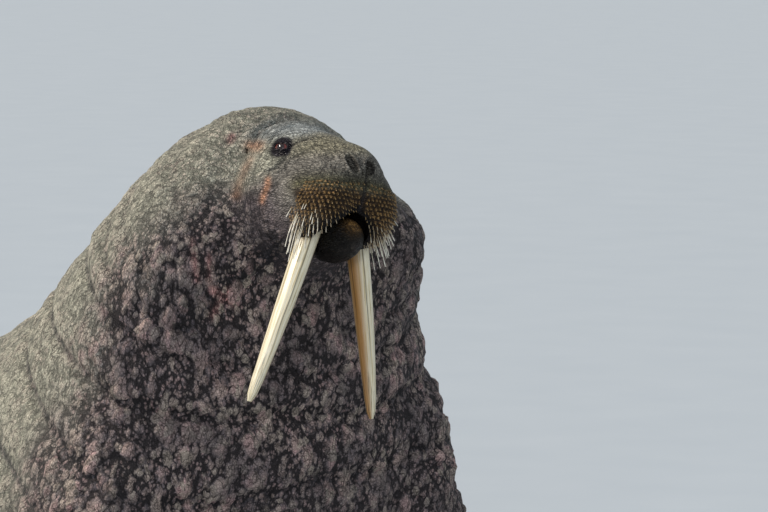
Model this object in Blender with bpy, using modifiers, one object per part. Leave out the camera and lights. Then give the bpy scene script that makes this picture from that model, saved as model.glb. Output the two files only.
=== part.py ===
# Bull walrus at life size, propped on its fore flippers with the head up.
# Metres, +Z up, nose towards +X, the floor at Z = 0.

import math
import random

import bmesh
import bpy
import numpy as np
from mathutils import Matrix, Vector
from mathutils.bvhtree import BVHTree

SIDES = ((1, "left"), (-1, "right"))

# Where the top of the nape stands along X, so that the whole animal is centred on the origin.
NAPE_X = 1.019
# What two pieces that meet keep between them.
GAP = 0.0003

# The trunk's sections, from inside the head to the rump. Each one is a slice across the body:
# its top point and its bottom point (x from the nape, z), half width, how high the widest place
# lies, the exponents of the lower and upper half (2 is an ellipse, more is boxier), sideways shift.
TRUNK = (
    ((0.105, 1.130), (0.185, 0.960), 0.085, 0.50, 2.0, 2.0, 0.000),
    ((0.065, 1.180), (0.175, 0.905), 0.155, 0.48, 2.0, 2.0, -0.004),
    ((0.000, 1.200), (0.160, 0.865), 0.228, 0.44, 2.0, 1.95, -0.008),
    ((-0.105, 1.157), (0.145, 0.800), 0.318, 0.42, 2.1, 1.9, -0.014),
    ((-0.220, 1.045), (0.140, 0.710), 0.386, 0.42, 2.1, 1.95, -0.014),
    ((-0.345, 0.918), (0.140, 0.590), 0.432, 0.43, 2.1, 2.0, -0.008),
    ((-0.490, 0.810), (0.135, 0.430), 0.462, 0.43, 2.2, 2.0, -0.002),
    ((-0.640, 0.735), (0.090, 0.260), 0.480, 0.42, 2.3, 2.0, 0.000),
    ((-0.800, 0.672), (-0.010, 0.100), 0.500, 0.41, 2.4, 2.0, 0.000),
    ((-0.980, 0.618), (-0.220, 0.005), 0.515, 0.40, 2.6, 2.0, 0.000),
    ((-1.170, 0.578), (-0.540, -0.020), 0.520, 0.39, 2.7, 2.0, 0.004),
    ((-1.380, 0.534), (-0.960, -0.020), 0.500, 0.39, 2.7, 2.0, 0.014),
    ((-1.620, 0.470), (-1.380, -0.020), 0.440, 0.39, 2.6, 2.0, 0.032),
    ((-1.850, 0.388), (-1.720, -0.020), 0.350, 0.39, 2.4, 2.0, 0.056),
    ((-2.050, 0.295), (-1.990, -0.015), 0.250, 0.40, 2.2, 2.0, 0.082),
    ((-2.200, 0.212), (-2.180, 0.005), 0.170, 0.43, 2.0, 2.0, 0.100),
    ((-2.290, 0.155), (-2.280, 0.040), 0.090, 0.50, 2.0, 2.0, 0.110),
)
# How finely the trunk is lofted before it is blended with the rest.
TRUNK_RINGS = 110
TRUNK_SIDES = 56
# A roll of loose skin that the tilt of the head pushes out on the left of the neck: centre, radii.
NECK_ROLL = ((-0.085, 0.250, 0.886), (0.230, 0.168, 0.148))
# Smoothing draws the surface in by about this much, so the sections are made larger by it.
SWELL = 0.007

# The head's own frame has its origin midway between the eyes: x forward, y to the left, z up.
HEAD_PLACE = Vector((NAPE_X + 0.160, 0.0, 1.108))
HEAD_ROLL = math.radians(-11.0)
HEAD_PITCH = math.radians(-10.0)
HEAD_YAW = math.radians(3.0)
HEAD = (
    Matrix.Translation(HEAD_PLACE)
    @ Matrix.Rotation(HEAD_YAW, 4, "Z")
    @ Matrix.Rotation(HEAD_PITCH, 4, "Y")
    @ Matrix.Rotation(HEAD_ROLL, 4, "X")
)
# Rounded masses of the head: centre, radii, pitch in degrees, and whether it stands on both sides.
HEAD_MASSES = {
    "cranium": ((-0.055, 0.000, -0.030), (0.150, 0.116, 0.090), 0, False),
    "bridge": ((0.066, 0.000, -0.045), (0.110, 0.076, 0.066), 14, False),
    "nose": ((0.124, 0.006, -0.055), (0.056, 0.066, 0.054), 0, False),
    "lip": ((0.100, 0.000, -0.105), (0.074, 0.055, 0.050), 0, False),
    "pad": ((0.070, 0.062, -0.125), (0.106, 0.070, 0.090), 8, True),
    "jowl": ((0.010, 0.082, -0.128), (0.075, 0.052, 0.064), 0, True),
    "cheek": ((-0.045, 0.078, -0.110), (0.115, 0.070, 0.105), 0, True),
    "throat": ((-0.020, 0.000, -0.180), (0.130, 0.085, 0.070), 0, False),
    "brow": ((-0.005, 0.070, 0.012), (0.050, 0.034, 0.026), 0, True),
}
# The chin, and the hollow under the lip that it lies in.
CHIN = ((0.080, 0.000, -0.196), (0.069, 0.047, 0.049))
MOUTH = ((0.100, -0.016, -0.184), (0.066, 0.066, 0.053))

# Limbs, from the nape's x: the shoulder's centre and radii, then elbow and wrist with their radii,
# and the same for knee and ankle.
SHOULDER = ((-0.130, 0.370, 0.390), (0.230, 0.155, 0.280))
FORE_ARM = (((-0.060, 0.430, 0.260), 0.130), ((0.030, 0.470, 0.085), 0.085))
HIND_ARM = (((-2.060, 0.090, 0.150), 0.095), ((-2.230, 0.160, 0.075), 0.068))
# A flipper: the way it points on the floor in degrees, its length, its half width and thickness at
# root and tip, how deep the web is drawn in between the digits, and the digits' reach as parts.
FORE_HAND = {
    "heading": 118,
    "length": 0.430,
    "root": 0.085,
    "tip": 0.155,
    "thick": 0.075,
    "thin": 0.022,
    "notch": 0.06,
    "digits": (1.00, 0.98, 0.94, 0.88, 0.80),
}
HIND_HAND = {
    "heading": 68,
    "length": 0.440,
    "root": 0.060,
    "tip": 0.235,
    "thick": 0.070,
    "thin": 0.018,
    "notch": 0.09,
    "digits": (1.00, 0.90, 0.84, 0.90, 1.00),
}
# How far behind the wrist a flipper starts.
HAND_BACK = 0.030
# The blocks that part the flippers from the body: how far behind the wrist they start, half width
# at start and end, and the height of their top at the inner and outer corners.
FORE_BLOCK = (0.110, 0.125, 0.340, (0.160, 0.160, 0.460, 0.460))
HIND_BLOCK = (0.035, 0.085, 0.330, (0.150, 0.150, 0.300, 0.300))
# Nails: how far out along the digit, length and half width for each digit in turn.
FORE_NAILS = ((0.80, 0.020, 0.0050),) * 5
LONG_NAIL = (0.80, 0.030, 0.0055)
SHORT_NAIL = (0.84, 0.014, 0.0040)
HIND_NAILS = (SHORT_NAIL, LONG_NAIL, LONG_NAIL, LONG_NAIL, SHORT_NAIL)
# The short tail's centre and radii.
TAIL = ((-2.330, 0.112, 0.085), (0.075, 0.045, 0.030))
# The rump lies a little to the left, and both hind flippers go with it.
RUMP_SHIFT = 0.110
HIND_SHIFT = {1: RUMP_SHIFT, -1: -RUMP_SHIFT}

# The face: each eyeball's centre and radius in the head's frame, the way it looks, the opening of
# the lids as half length and half heights, and how far the lids stand out from the ball.
EYE = (0.000, 0.079, -0.005)
EYE_RADIUS = 0.024
EYE_OUT = (0.32, 0.93, 0.17)
LID_HALF = 0.0170
LID_UPPER = 0.0075
LID_LOWER = 0.0062
LID_RISE = 0.0050
# Pits: centre on the left, the way their length runs, half length, half width, depth, raised edge.
NOSTRIL = ((0.167, 0.0195, -0.053), (-0.34, 0.26, 0.90), 0.0185, 0.0075, 0.020, 0.002)
EAR = ((-0.068, 0.128, -0.008), (0.5, 0.2, -0.8), 0.0080, 0.0040, 0.010, 0.0015)
# The middle of the nose lies this much to the left.
NOSE_LEAN = -0.012

# Folds of loose skin across the neck: place along the sections, depth, half width, and how much
# the fold wanders as it goes round.
FOLDS = (
    (1.70, 0.003, 0.014, 0.10),
    (2.60, 0.004, 0.016, 0.12),
    (3.40, 0.005, 0.016, 0.10),
    (4.00, 0.007, 0.015, 0.08),
    (4.55, 0.009, 0.017, 0.08),
    (5.35, 0.012, 0.021, 0.10),
    (6.25, 0.013, 0.025, 0.14),
    (7.30, 0.012, 0.028, 0.16),
)

# The cuts between the nodes, from the nape's x: a point and the way the plane faces.
NECK_CUT = ((0.070, 0, 1.030), (1.0, 0, 0.26))
MUZZLE_CUT = ((0.010, 0, -0.080), (1.0, 0, -0.30))
CHEST_CUT = ((-0.180, 0, 0.630), (0.52, 0, 0.85))
TORSO_CUT = ((-0.560, 0, 0.360), (0.60, 0, 0.80))
RUMP_CUT = ((-1.500, 0, 0.250), (1.0, 0, 0.42))
TAIL_CUT = ((-2.300, 0, 0.080), (1.0, 0, 0.0))

# A tusk: where it starts in the head's frame, how it leans, how long it is from there, its widest
# half sizes front to back and side to side, and the taper along it as (part of the length, scale).
TUSK_ROOT = (0.0745, 0.0470, -0.128)
TUSK_LEAN = (-5.5, 15.5)
TUSK_LENGTH = 0.440
TUSK_RADII = (0.0265, 0.0205)
TUSK_TAPER = ((0, 1), (0.15, 1.03), (0.5, 0.86), (0.72, 0.70), (0.9, 0.54), (0.965, 0.42), (1, 0.18))
TUSK_BEND = -0.018
TUSK_SIDES = 14
TUSK_RINGS = (0, 0.15, 0.3, 0.45, 0.6, 0.72, 0.82, 0.9, 0.95, 0.98, 1.0)

# Whiskers: rows down each pad as (angle down, how many back along it, length), all seen from a
# point inside the pad, then the radius at the skin and how deep the root is sunk.
WHISKER_ROWS = ((-8, 9, 0.018), (-22, 10, 0.026), (-36, 10, 0.040), (-50, 9, 0.052), (-62, 7, 0.060))
WHISKER_RADIUS = 0.0017
WHISKER_SINK = 0.006

# The size of the cells that the masses are first blended in, and how many triangles the face and
# the rest of the body keep.
CELL = 0.010
FACE_CENTRE = (0.05, 0.0, -0.08)
FACE_TRIANGLES = 2900
BODY_TRIANGLES = 4500

# Colour, roughness and the start of the nodes' names for each look.
TRUNK_NODES = ("head", "neck", "chest", "torso", "hindquarters", "tail")
LOOKS = {
    "grey_brown_hide": ((0.150, 0.115, 0.095), 0.70, TRUNK_NODES),
    "olive_muzzle": ((0.085, 0.065, 0.045), 0.65, ("muzzle",)),
    "dark_lip": ((0.018, 0.014, 0.012), 0.45, ("lower_jaw",)),
    "bare_flipper_skin": ((0.075, 0.055, 0.045), 0.60, ("fore_flipper", "hind_flipper")),
    "ivory": ((0.720, 0.600, 0.400), 0.35, ("tusk",)),
    "wet_dark_eye": ((0.012, 0.006, 0.006), 0.08, ("eye",)),
}


def blend(points, count):
    """Rows of numbers read at count even steps along a smooth curve through the given rows."""
    rows = np.array(points, float)
    knots = np.arange(len(rows), dtype=float)
    steps = np.linspace(0, len(rows) - 1, count)
    slopes = np.gradient(rows, axis=0)
    low = np.clip(steps.astype(int), 0, len(rows) - 2)
    t = (steps - knots[low])[:, None]
    p0, p1, m0, m1 = rows[low], rows[low + 1], slopes[low], slopes[low + 1]
    return (
        (2 * t**3 - 3 * t**2 + 1) * p0
        + (t**3 - 2 * t**2 + t) * m0
        + (3 * t**2 - 2 * t**3) * p1
        + (t**3 - t**2) * m1
    )


def trunk_rows(count):
    return blend([(*top, *bottom, *rest) for top, bottom, *rest in TRUNK], count)


def closed_loft(name, rings):
    """A closed mesh through rings of equal length, with a fan at each end."""
    rings = np.array(rings)
    count, sides = rings.shape[:2]
    points = [tuple(p) for ring in rings for p in ring]
    points += [tuple(rings[0].mean(0)), tuple(rings[-1].mean(0))]
    faces = []
    for i in range(count - 1):
        for j in range(sides):
            k = (j + 1) % sides
            faces.append((i * sides + j, i * sides + k, (i + 1) * sides + k, (i + 1) * sides + j))
    for j in range(sides):
        k = (j + 1) % sides
        faces.append((count * sides, k, j))
        faces.append((count * sides + 1, (count - 1) * sides + j, (count - 1) * sides + k))
    mesh = bpy.data.meshes.new(name)
    mesh.from_pydata(points, [], faces)
    face_out(mesh)
    obj = bpy.data.objects.new(name, mesh)
    bpy.context.scene.collection.objects.link(obj)
    return obj


def face_out(mesh):
    shape = bmesh.new()
    shape.from_mesh(mesh)
    bmesh.ops.recalc_face_normals(shape, faces=shape.faces)
    shape.to_mesh(mesh)
    shape.free()


def make_trunk():
    rings = []
    for tx, tz, bx, bz, wide, middle, low, high, shift in trunk_rows(TRUNK_RINGS):
        ring = []
        for j in range(TRUNK_SIDES):
            turn = 2 * math.pi * j / TRUNK_SIDES
            across, along = math.sin(turn), -math.cos(turn)
            power = 2 / (low if along < 0 else high)
            y = wide * math.copysign(abs(across) ** power, across)
            reach = middle if along < 0 else 1 - middle
            t = middle + reach * math.copysign(abs(along) ** power, along)
            spot = Vector((NAPE_X + bx + (tx - bx) * t, y + shift, bz + (tz - bz) * t))
            middle_spot = Vector((NAPE_X + (bx + tx) / 2, shift, (bz + tz) / 2))
            ring.append(tuple(spot + (spot - middle_spot).normalized() * SWELL))
        rings.append(ring)
    return closed_loft("trunk", rings)


def ellipsoid(name, centre, radii, pitch=0.0, frame=Matrix.Identity(4), segments=32, rings=20):
    shape = bmesh.new()
    bmesh.ops.create_uvsphere(shape, u_segments=segments, v_segments=rings, radius=1.0)
    place = (
        frame
        @ Matrix.Translation(centre)
        @ Matrix.Rotation(math.radians(pitch), 4, "Y")
        @ Matrix.Diagonal((*radii, 1.0))
    )
    bmesh.ops.transform(shape, matrix=place, verts=shape.verts)
    mesh = bpy.data.meshes.new(name)
    shape.to_mesh(mesh)
    shape.free()
    obj = bpy.data.objects.new(name, mesh)
    bpy.context.scene.collection.objects.link(obj)
    return obj


def make_head_masses():
    made = []
    for name, (centre, radii, pitch, paired) in HEAD_MASSES.items():
        for side in (1, -1) if paired else (1,):
            x, y, z = centre
            made.append(ellipsoid(name, (x, side * y, z), radii, pitch, HEAD))
    return made


def make_limb(name, joints, side, segments=20):
    """A tapering arm with round ends through joints given as (point, radius)."""
    (start, wide), (end, narrow) = joints
    start = Vector((NAPE_X + start[0], side * start[1], start[2]))
    end = Vector((NAPE_X + end[0], side * end[1], end[2]))
    axis = (end - start).normalized()
    aside = axis.orthogonal().normalized()
    across = axis.cross(aside)
    rings = []
    for i in range(8):
        angle = math.pi / 2 * (1 - i / 7.5)
        rings.append((start - axis * wide * math.sin(angle), wide * math.cos(angle)))
    for i in range(1, 9):
        angle = math.pi / 2 * (i - 0.5) / 8
        rings.append((end + axis * narrow * math.sin(angle), narrow * math.cos(angle)))
    turns = [2 * math.pi * j / segments for j in range(segments)]
    return closed_loft(
        name,
        [[tuple(c + (aside * math.cos(t) + across * math.sin(t)) * r) for t in turns] for c, r in rings],
    )


def hand_axes(sizes, side):
    heading = math.radians(sizes["heading"])
    ahead = Vector((math.cos(heading), side * math.sin(heading), 0))
    aside = Vector((-math.sin(heading), side * math.cos(heading), 0))
    return ahead, aside


def make_hand(name, wrist, sizes, side):
    """A flat flipper on the floor: one heightfield with a ridge and a rounded tip for each digit."""
    ahead, aside = hand_axes(sizes, side)
    digits = sizes["digits"]
    steps, lanes = 20, 61
    top = []
    for i in range(steps + 1):
        r = i / steps
        row = []
        for j in range(lanes):
            a = 2 * j / (lanes - 1) - 1
            place = (a + 1) / 2 * (len(digits) - 1)
            low = min(int(place), len(digits) - 2)
            reach = digits[low] + (digits[low + 1] - digits[low]) * (place - low)
            crest = 0.5 + 0.5 * math.cos(2 * math.pi * place)
            length = sizes["length"] * (reach - sizes["notch"] * (1 - crest) * r)
            spread = sizes["root"] + (sizes["tip"] - sizes["root"]) * r**0.8
            spread *= 0.55 + 0.45 * math.sin(math.pi / 2 * min(1, r / 0.18))
            flat = sizes["thin"] + (sizes["thick"] - sizes["thin"]) * (1 - r) ** 1.3
            edge = (1 - abs(a) ** 6) ** 0.5 * (1 - max(0, (r - 0.85) / 0.15) ** 3 * 0.5)
            height = 0.010 + flat * edge * (0.72 + 0.38 * crest * min(1, r * 2))
            spot = wrist + ahead * (r * length - HAND_BACK) + aside * a * spread
            row.append((spot.x, spot.y, height))
        top.append(row)
    rings = []
    for j in range(lanes):
        column = [top[i][j] for i in range(steps + 1)]
        floor = [(x, y, -0.012) for x, y, _ in reversed(column)]
        rings.append(column + floor)
    return closed_loft(name, rings)


def hind_arm(side):
    return [((x, y + HIND_SHIFT[side], z), r) for (x, y, z), r in HIND_ARM]


def wrist_place(joints, side):
    """The point on the floor under the limb's last joint."""
    x, y, _ = joints[1][0]
    return Vector((NAPE_X + x, side * y, 0))


def make_limbs():
    made = []
    for side, word in SIDES:
        centre, radii = SHOULDER
        spot = (NAPE_X + centre[0], side * centre[1], centre[2])
        made.append(ellipsoid("shoulder_" + word, spot, radii))
        made.append(make_limb("arm_" + word, FORE_ARM, side))
        made.append(make_hand("hand_" + word, wrist_place(FORE_ARM, side), FORE_HAND, side))
        joints = hind_arm(side)
        made.append(make_limb("ankle_" + word, joints, side))
        made.append(make_hand("foot_" + word, wrist_place(joints, side), HIND_HAND, side))
    centre, radii = TAIL
    made.append(ellipsoid("tail", (NAPE_X + centre[0], centre[1], centre[2]), radii))
    return made


def read_points(mesh):
    flat = np.empty(len(mesh.vertices) * 3)
    mesh.vertices.foreach_get("co", flat)
    return flat.reshape(-1, 3)


def write_points(mesh, points):
    mesh.vertices.foreach_set("co", np.ascontiguousarray(points).ravel())
    mesh.update()


def read_normals(mesh):
    flat = np.empty(len(mesh.vertices) * 3)
    mesh.vertices.foreach_get("normal", flat)
    return flat.reshape(-1, 3)


def join(name, objects):
    """One mesh that holds copies of all the given ones, which are then removed."""
    points, faces, base = [], [], 0
    for obj in objects:
        points.extend(tuple(v.co) for v in obj.data.vertices)
        faces.extend([base + v for v in f.vertices] for f in obj.data.polygons)
        base = len(points)
        remove(obj)
    mesh = bpy.data.meshes.new(name)
    mesh.from_pydata(points, [], faces)
    obj = bpy.data.objects.new(name, mesh)
    bpy.context.scene.collection.objects.link(obj)
    return obj


def remove(obj):
    mesh = obj.data
    bpy.data.objects.remove(obj)
    bpy.data.meshes.remove(mesh)


def settle(obj):
    """Turns the object's modifiers into plain mesh."""
    graph = bpy.context.evaluated_depsgraph_get()
    mesh = bpy.data.meshes.new_from_object(obj.evaluated_get(graph))
    obj.modifiers.clear()
    old = obj.data
    obj.data = mesh
    bpy.data.meshes.remove(old)


def even_out(obj, size):
    change = obj.modifiers.new("even", "REMESH")
    change.mode = "VOXEL"
    change.voxel_size = size
    settle(obj)


def relax(mesh, passes, strength):
    """Moves each point towards the middle of its neighbours, by one strength or one a point."""
    points = read_points(mesh)
    ends = np.empty(len(mesh.edges) * 2, int)
    mesh.edges.foreach_get("vertices", ends)
    a, b = ends.reshape(-1, 2).T
    counts = np.bincount(ends, minlength=len(points))[:, None]
    amount = np.broadcast_to(np.asarray(strength, float).reshape(-1, 1), (len(points), 1))
    for _ in range(passes):
        totals = [
            np.bincount(a, points[b, k], len(points)) + np.bincount(b, points[a, k], len(points))
            for k in range(3)
        ]
        middle = np.stack(totals, axis=1)
        points = points + amount * (middle / counts - points)
    write_points(mesh, points)


def refine(mesh, chosen):
    """Splits the edges of every face that lies wholly among the chosen points."""
    shape = bmesh.new()
    shape.from_mesh(mesh)
    shape.verts.ensure_lookup_table()
    faces = [f for f in shape.faces if all(chosen[v.index] for v in f.verts)]
    edges = list({e for f in faces for e in f.edges})
    bmesh.ops.subdivide_edges(shape, edges=edges, cuts=1, use_grid_fill=True)
    shape.to_mesh(mesh)
    shape.free()


def head_points(points):
    """Points of the world in the head's own frame."""
    back = np.array(HEAD.inverted())
    return points @ back[:3, :3].T + back[:3, 3]


def world_points(local):
    place = np.array(HEAD)
    return local @ place[:3, :3].T + place[:3, 3]


def face_distance(mesh):
    """How far each point lies from the middle of the face."""
    return np.linalg.norm(head_points(read_points(mesh)) - FACE_CENTRE, axis=1)


def smooth(edge0, edge1, value):
    t = np.clip((value - edge0) / (edge1 - edge0), 0, 1)
    return t * t * (3 - 2 * t)


def unit(v):
    v = np.asarray(v, float)
    return v / np.linalg.norm(v)


def eye_axes(side):
    """The way out of the eye, the way along the lids and the way up across them."""
    out = unit((EYE_OUT[0], side * EYE_OUT[1], EYE_OUT[2]))
    up = unit(np.array((0.10, 0, 1.0)) - out * np.dot(out, (0.10, 0, 1.0)))
    return out, np.cross(up, out) * side, up


def shape_eye(local, side):
    """Lids: a raised rim round an almond opening, whose floor lies below the eyeball."""
    out, along, up = eye_axes(side)
    q = local - np.array((EYE[0], side * EYE[1], EYE[2]))
    a, b, c = q @ along, q @ up, q @ out
    away = np.sqrt((a / LID_HALF) ** 2 + (b / np.where(b > 0, LID_UPPER, LID_LOWER)) ** 2)
    reach = np.linalg.norm(q, axis=1)
    near = (c > 0.004) & (np.hypot(a, b) < 0.040)
    floor = EYE_RADIUS - 0.005
    rim = EYE_RADIUS + LID_RISE
    target = floor + (rim - floor) * smooth(0.80, 1.12, away)
    weight = 1 - smooth(0.024, 0.036, np.hypot(a, b * 1.25))
    change = np.where(near, weight * (target - reach) / np.maximum(reach, 1e-6), 0)
    return local + q * change[:, None]


def press_pit(local, normals, pit, side):
    """An oval pit pressed in along the surface's own normal, with a soft raised edge."""
    (x, y, z), (ax, ay, az), half, wide, deep, lip = pit
    along = unit((ax, side * ay, az))
    q = local - np.array((x, side * y, z))
    lengthways = q @ along
    rest = q - lengthways[:, None] * along
    sideways = np.linalg.norm(rest - (np.sum(rest * normals, axis=1))[:, None] * normals, axis=1)
    away = np.sqrt((lengthways / half) ** 2 + (sideways / wide) ** 2)
    near = np.linalg.norm(q, axis=1) < half * 2.2
    depth = deep * np.sqrt(np.clip(1 - away**2, 0, 1))
    edge = lip * np.exp(-(((away - 1.35) / 0.35) ** 2))
    return local + np.where(near, edge - depth, 0)[:, None] * normals


def make_flesh():
    centre, radii = NECK_ROLL
    roll = ellipsoid("neck_roll", (NAPE_X + centre[0], centre[1], centre[2]), radii)
    flesh = join("flesh", [make_trunk(), roll, *make_head_masses(), *make_limbs()])
    even_out(flesh, CELL)
    points = read_points(flesh.data)
    off_head = smooth(0.10, 0.24, np.linalg.norm(head_points(points) - (0.06, 0, -0.10), axis=1))
    off_floor = smooth(0.05, 0.16, points[:, 2])
    relax(flesh.data, 14, 0.5 * (0.2 + 0.8 * off_floor))
    relax(flesh.data, 60, 0.5 * off_head * off_floor)
    return flesh


def trunk_place(points):
    """For each point: its place along the sections, its angle round them, and metres a section."""
    rows = trunk_rows(161)
    tops = rows[:, :2] + (NAPE_X, 0)
    bottoms = rows[:, 2:4] + (NAPE_X, 0)
    spans = tops - bottoms
    at = points[:, [0, 2]]
    best = np.full(len(points), 0.0)
    last = None
    for i in range(len(rows)):
        q = at - bottoms[i]
        behind = spans[i, 0] * q[:, 1] - spans[i, 1] * q[:, 0]
        if last is not None:
            crossed = (last > 0) & (behind <= 0)
            part = np.where(crossed, last / np.maximum(last - behind, 1e-9), 0)
            best = np.where(crossed, (i - 1 + part) / (len(rows) - 1) * (len(TRUNK) - 1), best)
        last = behind
    best = np.where(last > 0, float(len(TRUNK) - 1), best)
    index = best / (len(TRUNK) - 1) * (len(rows) - 1)
    low = np.clip(index.astype(int), 0, len(rows) - 2)
    mix = (index - low)[:, None]
    top = tops[low] * (1 - mix) + tops[low + 1] * mix
    bottom = bottoms[low] * (1 - mix) + bottoms[low + 1] * mix
    span = np.linalg.norm(top - bottom, axis=1)
    high = np.sum((at - bottom) * (top - bottom), axis=1) / span**2
    across = points[:, 1]
    angle = np.arctan2(across, (high - 0.45) * span)
    top_step = np.linalg.norm(tops[low + 1] - tops[low], axis=1)
    bottom_step = np.linalg.norm(bottoms[low + 1] - bottoms[low], axis=1)
    scale = (len(rows) - 1) / (len(TRUNK) - 1)
    metres = (bottom_step + (top_step - bottom_step) * np.clip(high, 0, 1)) * scale
    return best, angle, metres


def fold_skin(mesh):
    points = read_points(mesh)
    along, angle, metres = trunk_place(points)
    off_head = smooth(0.16, 0.22, np.linalg.norm(head_points(points) - (0.07, 0, -0.09), axis=1))
    off_floor = smooth(0.10, 0.25, points[:, 2])
    off_arm = 1 - 0.7 * smooth(0.40, 0.46, np.abs(points[:, 1])) * (points[:, 2] < 0.5)
    change = np.zeros(len(points))
    for i, (place, depth, half, wander) in enumerate(FOLDS):
        wave = wander * (np.sin(angle * 2 + i * 2.1) + 0.5 * np.sin(angle * 5 + i * 1.3))
        gap = (along - place - wave) * metres
        groove = np.exp(-((gap / half) ** 2))
        swelling = 0.35 * np.exp(-(((gap + 2.2 * half) / (1.6 * half)) ** 2))
        change += depth * (swelling - groove)
    change *= off_head * off_floor * off_arm
    write_points(mesh, points + read_normals(mesh) * change[:, None])


def detail_face(flesh):
    """A closer mesh over the face, and closer again at the eyes, nostrils and ears, then their shapes."""
    mesh = flesh.data
    refine(mesh, face_distance(mesh) < 0.24)
    relax(mesh, 2, 0.5 * (face_distance(mesh) < 0.22))
    local = head_points(read_points(mesh))
    chosen = np.zeros(len(local), bool)
    for side, _ in SIDES:
        for centre, reach in ((EYE, 0.048), (NOSTRIL[0], 0.030), (EAR[0], 0.020)):
            x, y, z = centre
            chosen |= np.linalg.norm(local - (x, side * y, z), axis=1) < reach
    refine(mesh, chosen)
    turn = np.array(HEAD)[:3, :3]
    for side, _ in SIDES:
        local = shape_eye(head_points(read_points(mesh)), side)
        write_points(mesh, world_points(local))
        for pit, lean in ((NOSTRIL, NOSE_LEAN), (EAR, 0.0)):
            local = head_points(read_points(mesh)) - (0, lean, 0)
            local = press_pit(local, read_normals(mesh) @ turn, pit, side) + (0, lean, 0)
            write_points(mesh, world_points(local))


def thin_out(obj, inside, target):
    """Collapses the chosen points' region until the mesh has about the target count of triangles."""
    group = obj.vertex_groups.new(name="thin")
    group.add([int(i) for i in np.nonzero(inside)[0]], 1.0, "REPLACE")
    mesh = obj.data
    now = sum(len(f.vertices) - 2 for f in mesh.polygons)
    change = obj.modifiers.new("thin", "DECIMATE")
    change.ratio = target / now
    change.vertex_group = "thin"
    change.vertex_group_factor = 1000.0
    settle(obj)
    obj.vertex_groups.clear()


def triangles(obj):
    return sum(len(f.vertices) - 2 for f in obj.data.polygons)


def solid(name, points, faces):
    mesh = bpy.data.meshes.new(name)
    mesh.from_pydata([tuple(p) for p in points], [], faces)
    face_out(mesh)
    obj = bpy.data.objects.new(name, mesh)
    bpy.context.scene.collection.objects.link(obj)
    return obj


def copy_of(obj, name):
    twin = bpy.data.objects.new(name, obj.data.copy())
    bpy.context.scene.collection.objects.link(twin)
    return twin


def combine(obj, other, operation):
    """A Boolean of the first object with the second, which is then removed."""
    change = obj.modifiers.new("cut", "BOOLEAN")
    change.operation = operation
    change.object = other
    settle(obj)
    remove(other)
    keep_largest(obj)


def keep_largest(obj):
    """Keeps only the largest closed surface of the mesh, as triangles."""
    shape = bmesh.new()
    shape.from_mesh(obj.data)
    bmesh.ops.triangulate(shape, faces=shape.faces)
    bmesh.ops.remove_doubles(shape, verts=shape.verts, dist=1e-6)
    left = set(shape.verts)
    groups = []
    while left:
        seed = left.pop()
        group, front = {seed}, [seed]
        while front:
            for edge in front.pop().link_edges:
                for vert in edge.verts:
                    if vert in left:
                        left.discard(vert)
                        group.add(vert)
                        front.append(vert)
        groups.append(group)
    best = max(groups, key=lambda g: span(g))
    bmesh.ops.delete(shape, geom=[v for v in shape.verts if v not in best], context="VERTS")
    shape.to_mesh(obj.data)
    shape.free()


def span(verts):
    low = [min(v.co[k] for v in verts) for k in range(3)]
    high = [max(v.co[k] for v in verts) for k in range(3)]
    return sum(high[k] - low[k] for k in range(3))


def slice_off(obj, point, normal):
    """Keeps the side of the plane that its normal points away from, closed by a flat face."""
    shape = bmesh.new()
    shape.from_mesh(obj.data)
    everything = list(shape.verts) + list(shape.edges) + list(shape.faces)
    made = bmesh.ops.bisect_plane(
        shape, geom=everything, plane_co=point, plane_no=normal, clear_outer=True, dist=1e-6
    )
    rim = [e for e in made["geom_cut"] if isinstance(e, bmesh.types.BMEdge)]
    bmesh.ops.holes_fill(shape, edges=rim, sides=0)
    shape.to_mesh(obj.data)
    shape.free()
    keep_largest(obj)


def grown_copy(obj, margin):
    """A copy whose surface stands out by the margin all round."""
    grown = copy_of(obj, "grown")
    write_points(grown.data, read_points(grown.data) + read_normals(grown.data) * margin)
    return grown


def part_in_two(obj, point, normal, far_name):
    """Cuts the object at a plane with a thin gap. The piece on the normal's side gets the new name."""
    point, normal = Vector(point), Vector(normal).normalized()
    far = copy_of(obj, far_name)
    slice_off(obj, point - normal * GAP / 2, normal)
    slice_off(far, point + normal * GAP / 2, -normal)
    return far


def prism(name, plan, floor, tops, margin):
    """A block over a plan of four points with its own height at each, grown by the margin."""
    middle = sum((Vector(p) for p in plan), Vector((0, 0))) / 4
    grown = [Vector(p) + (Vector(p) - middle).normalized() * margin * 1.5 for p in plan]
    points = [(p.x, p.y, floor) for p in grown]
    points += [(p.x, p.y, top + margin) for p, top in zip(grown, tops)]
    faces = [(0, 1, 2, 3), (4, 5, 6, 7)] + [(i, (i + 1) % 4, 4 + (i + 1) % 4, 4 + i) for i in range(4)]
    return solid(name, points, faces)


def hand_block(wrist, sizes, side, block, margin):
    """The block that holds one flipper, from a little behind its wrist to past its tip."""
    back, near, far, tops = block
    ahead, aside = hand_axes(sizes, side)
    root = wrist - ahead * back
    end = root + ahead * (sizes["length"] + back + 0.12)
    plan = [root - aside * near, root + aside * near, end + aside * far, end - aside * far]
    return prism("block", [p.xy for p in plan], -0.2, tops, margin)


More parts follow.
